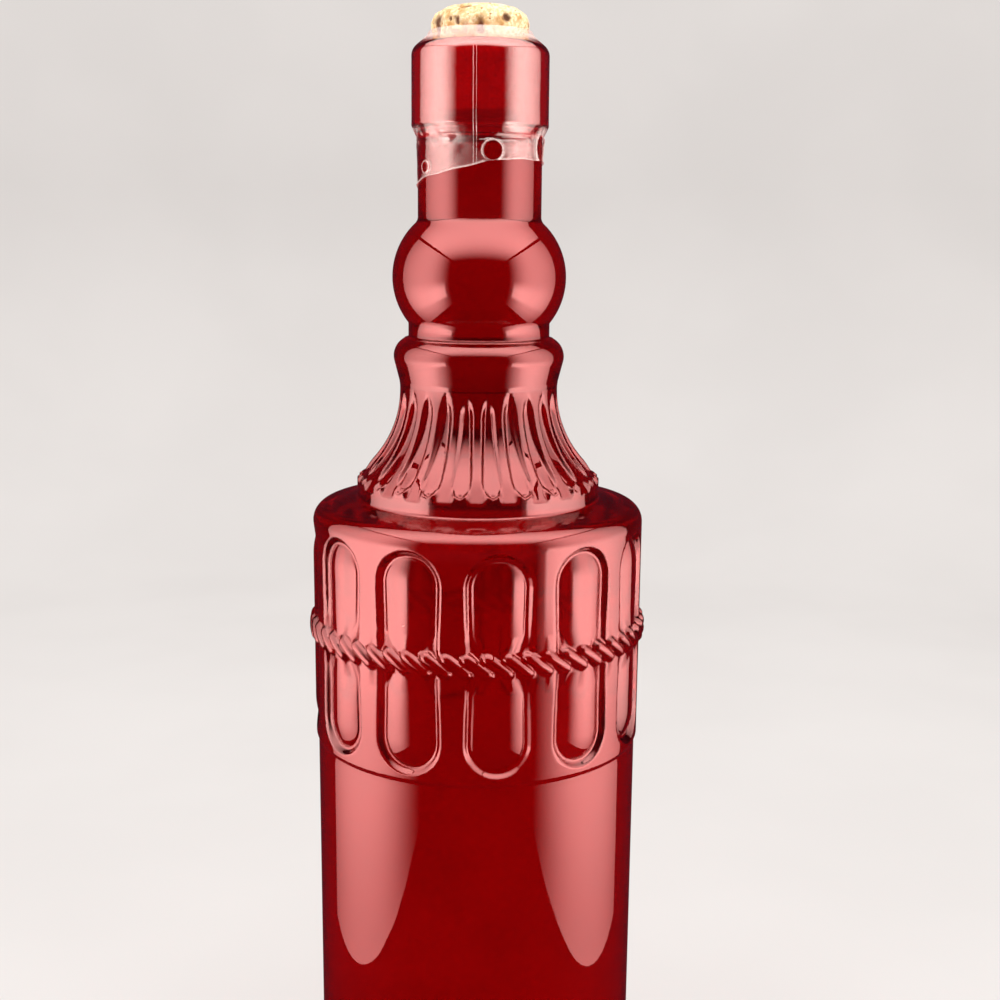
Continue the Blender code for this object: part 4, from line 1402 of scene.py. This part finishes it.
def pale_paper():
    """Matt paper of two whites, mixed by a broad swell."""
    material, tree, shader = new_material("pale_paper")
    mottle = use_group(tree, SWELL, Scale=6.0, Detail=3.0, Low=0.3, High=0.7)
    base = two_colours(tree, mottle.outputs["Mask"], *PAPER_WHITES)
    tree.links.new(base, shader.inputs["Base Color"])
    shader.inputs["Roughness"].default_value = 0.9
    shader.inputs["Specular IOR Level"].default_value = 0.1
    return material


stage = skin("stage_sweep", [pole(0.0), turned(stage_outline()), pole(WALL_TOP + COVE_RADIUS)])
stage.data.flip_normals()
stage.data.materials.append(pale_paper())
stage.visible_glossy = False
stage.visible_diffuse = False
stage.visible_shadow = False

# %% How the tent's light fades
SIDE_FRONT = -325.0
TOP_FRONT = -360.0
TENT_BACK = 122.0
TENT_TOP = 442.0
TENT_BOTTOM = -28.0
BRIGHT_FROM = -95.0  # where the fade from the front ends
BRIGHT_TO = -90.0  # where the fade to the back begins
DIM_AT = 175.0
DIM = 0.15
FOOT_FADE_TOP = 75.0
FOOT_DIM = 0.55
STRIPE_LOW = (60.0, 108.0)  # the stripe comes up between these heights
STRIPE_HIGH = (240.0, 150.0)  # and between these, from above
STRIPE_EDGE = (-268.0, -242.0)  # its front edge
STRIPE_FADE = (-60.0, -210.0)
STRIPE_GAIN = (0.42, 0.95)  # at the two ends of STRIPE_FADE


def fade(tree, value, start, end, low=0.0, high=1.0):
    """A smooth step from low at start to high at end, both in millimetres."""
    step = add(tree, "ShaderNodeMapRange", {"interpolation_type": "SMOOTHSTEP"}, Value=value,
               From_Min=start * MM, From_Max=end * MM, To_Min=low, To_Max=high)
    return step.outputs["Result"]


def multiply(tree, first, second):
    """The product of two values."""
    return add(tree, "ShaderNodeMath", {"operation": "MULTIPLY"}, _0=first, _1=second).outputs[0]


def fade_to_edges(lamp, front):
    """Dims the lamp towards its front edge, its back and its foot, and adds the stripe, by the world
    position of each point of it."""
    lamp.use_nodes = True
    tree = lamp.node_tree
    place = add(tree, "ShaderNodeNewGeometry")
    split = add(tree, "ShaderNodeSeparateXYZ", Vector=place.outputs["Position"])
    to_front = fade(tree, split.outputs["Y"], front, BRIGHT_FROM)
    to_back = fade(tree, split.outputs["Y"], BRIGHT_TO, DIM_AT, 1.0, DIM)
    to_foot = fade(tree, split.outputs["Z"], TENT_BOTTOM, FOOT_FADE_TOP, FOOT_DIM, 1.0)
    glow = multiply(tree, multiply(tree, to_front, to_back), to_foot)
    from_below = fade(tree, split.outputs["Z"], *STRIPE_LOW)
    from_above = fade(tree, split.outputs["Z"], *STRIPE_HIGH)
    edge = fade(tree, split.outputs["Y"], *STRIPE_EDGE)
    gain = fade(tree, split.outputs["Y"], *STRIPE_FADE, *STRIPE_GAIN)
    stripe = multiply(tree, multiply(tree, from_below, from_above), multiply(tree, edge, gain))
    lit = multiply(tree, stripe, to_back)
    total = add(tree, "ShaderNodeMath", {"operation": "ADD"}, _0=glow, _1=lit)
    tree.links.new(total.outputs[0], tree.nodes["Emission"].inputs["Strength"])


print("the stripe adds up to", round(100.0 * max(STRIPE_GAIN)), "% to the side panels' light")

# %% The tent's panels
TENT_HALF_WIDTH = 250.0
TENT_SEAM = 11.0
FLOOR_LIGHT_PLACE = (0.0, -200.0, 1400.0)
FLOOR_LIGHT_FACING = (0.0, 0.1, -1.0)
FLOOR_LIGHT_SIDE = 1500.0
FLOOR_LIGHT_RADIANCE = 2.0
# Each tent: name, radiance, how much brighter its top is, colour and the pieces it lights
TENTS = [
    ("glass_tent", 10.6, 1.3, (1.0, 0.40, 0.375), [glass, drink]),
    ("film_tent", 5.2, 0.95, (1.0, 0.93, 0.86), [film]),
    ("cork_tent", 2.5, 1.2, (1.0, 0.93, 0.87), [cork]),
]


def only_for(light, receivers):
    """This light reaches only these objects."""
    group = bpy.data.collections.new(light.name + "_reaches")
    for piece in receivers:
        group.objects.link(piece)
    light.light_linking.receiver_collection = group


def panel(name, middle, facing, width, height, radiance, receivers):
    """A flat soft light. A lamp's power is radiance x pi x area, in metres."""
    lamp = bpy.data.lights.new(name, "AREA")
    lamp.shape = "RECTANGLE"
    lamp.size = width * MM
    lamp.size_y = height * MM
    lamp.energy = radiance * np.pi * lamp.size * lamp.size_y
    light = bpy.data.objects.new(name, lamp)
    bpy.context.scene.collection.objects.link(light)
    light.location = Vector(middle) * MM
    light.rotation_mode = "QUATERNION"
    light.rotation_quaternion = Vector(facing).to_track_quat("-Z", "Y")
    light.visible_camera = False
    light.visible_transmission = False
    only_for(light, receivers)
    return lamp


side_depth = TENT_BACK - SIDE_FRONT
side_middle = (TENT_BACK + SIDE_FRONT) / 2.0
top_depth = TENT_BACK - TOP_FRONT
top_middle = (TENT_BACK + TOP_FRONT) / 2.0
height = TENT_TOP - TENT_SEAM - TENT_BOTTOM
width = 2.0 * (TENT_HALF_WIDTH - TENT_SEAM)
for label, radiance, top_gain, colour, receivers in TENTS:
    for side in (-1.0, 1.0):
        place = (side * TENT_HALF_WIDTH, side_middle, TENT_BOTTOM + height / 2.0)
        lamp = panel(label + "_side", place, (-side, 0.0, 0.0), side_depth, height, radiance, receivers)
        lamp.color = colour
        fade_to_edges(lamp, SIDE_FRONT)
    place = (0.0, top_middle, TENT_TOP)
    lamp = panel(label + "_top", place, (0.0, 0.0, -1.0), width, top_depth, radiance * top_gain, receivers)
    lamp.color = colour
    fade_to_edges(lamp, TOP_FRONT)
panel("floor_light", FLOOR_LIGHT_PLACE, FLOOR_LIGHT_FACING, FLOOR_LIGHT_SIDE, FLOOR_LIGHT_SIDE,
      FLOOR_LIGHT_RADIANCE, [stage])

# Instead, the glass's shade on the cork in the neck is painted into the cork's colour
for piece in (glass, film):
    piece.visible_shadow = False

# %% The room's glow
MIRRORED_DARK = (0.10, 0.012, 0.02)  # what the glass mirrors beside the tent
ROOM_GLOW = (0.66, 0.62, 0.60)  # what a pale room sends to matt surfaces

world = bpy.data.worlds.new("studio")
world.use_nodes = True
world.cycles.sampling_method = "NONE"
tree = world.node_tree
ray = add(tree, "ShaderNodeLightPath")
glow = two_colours(tree, ray.outputs["Is Diffuse Ray"], MIRRORED_DARK, ROOM_GLOW)
tree.links.new(glow, tree.nodes["Background"].inputs["Color"])
bpy.context.scene.world = world
bpy.context.scene.view_settings.view_transform = "Standard"
print("matt surfaces get", ROOM_GLOW, "and mirrors get", MIRRORED_DARK)
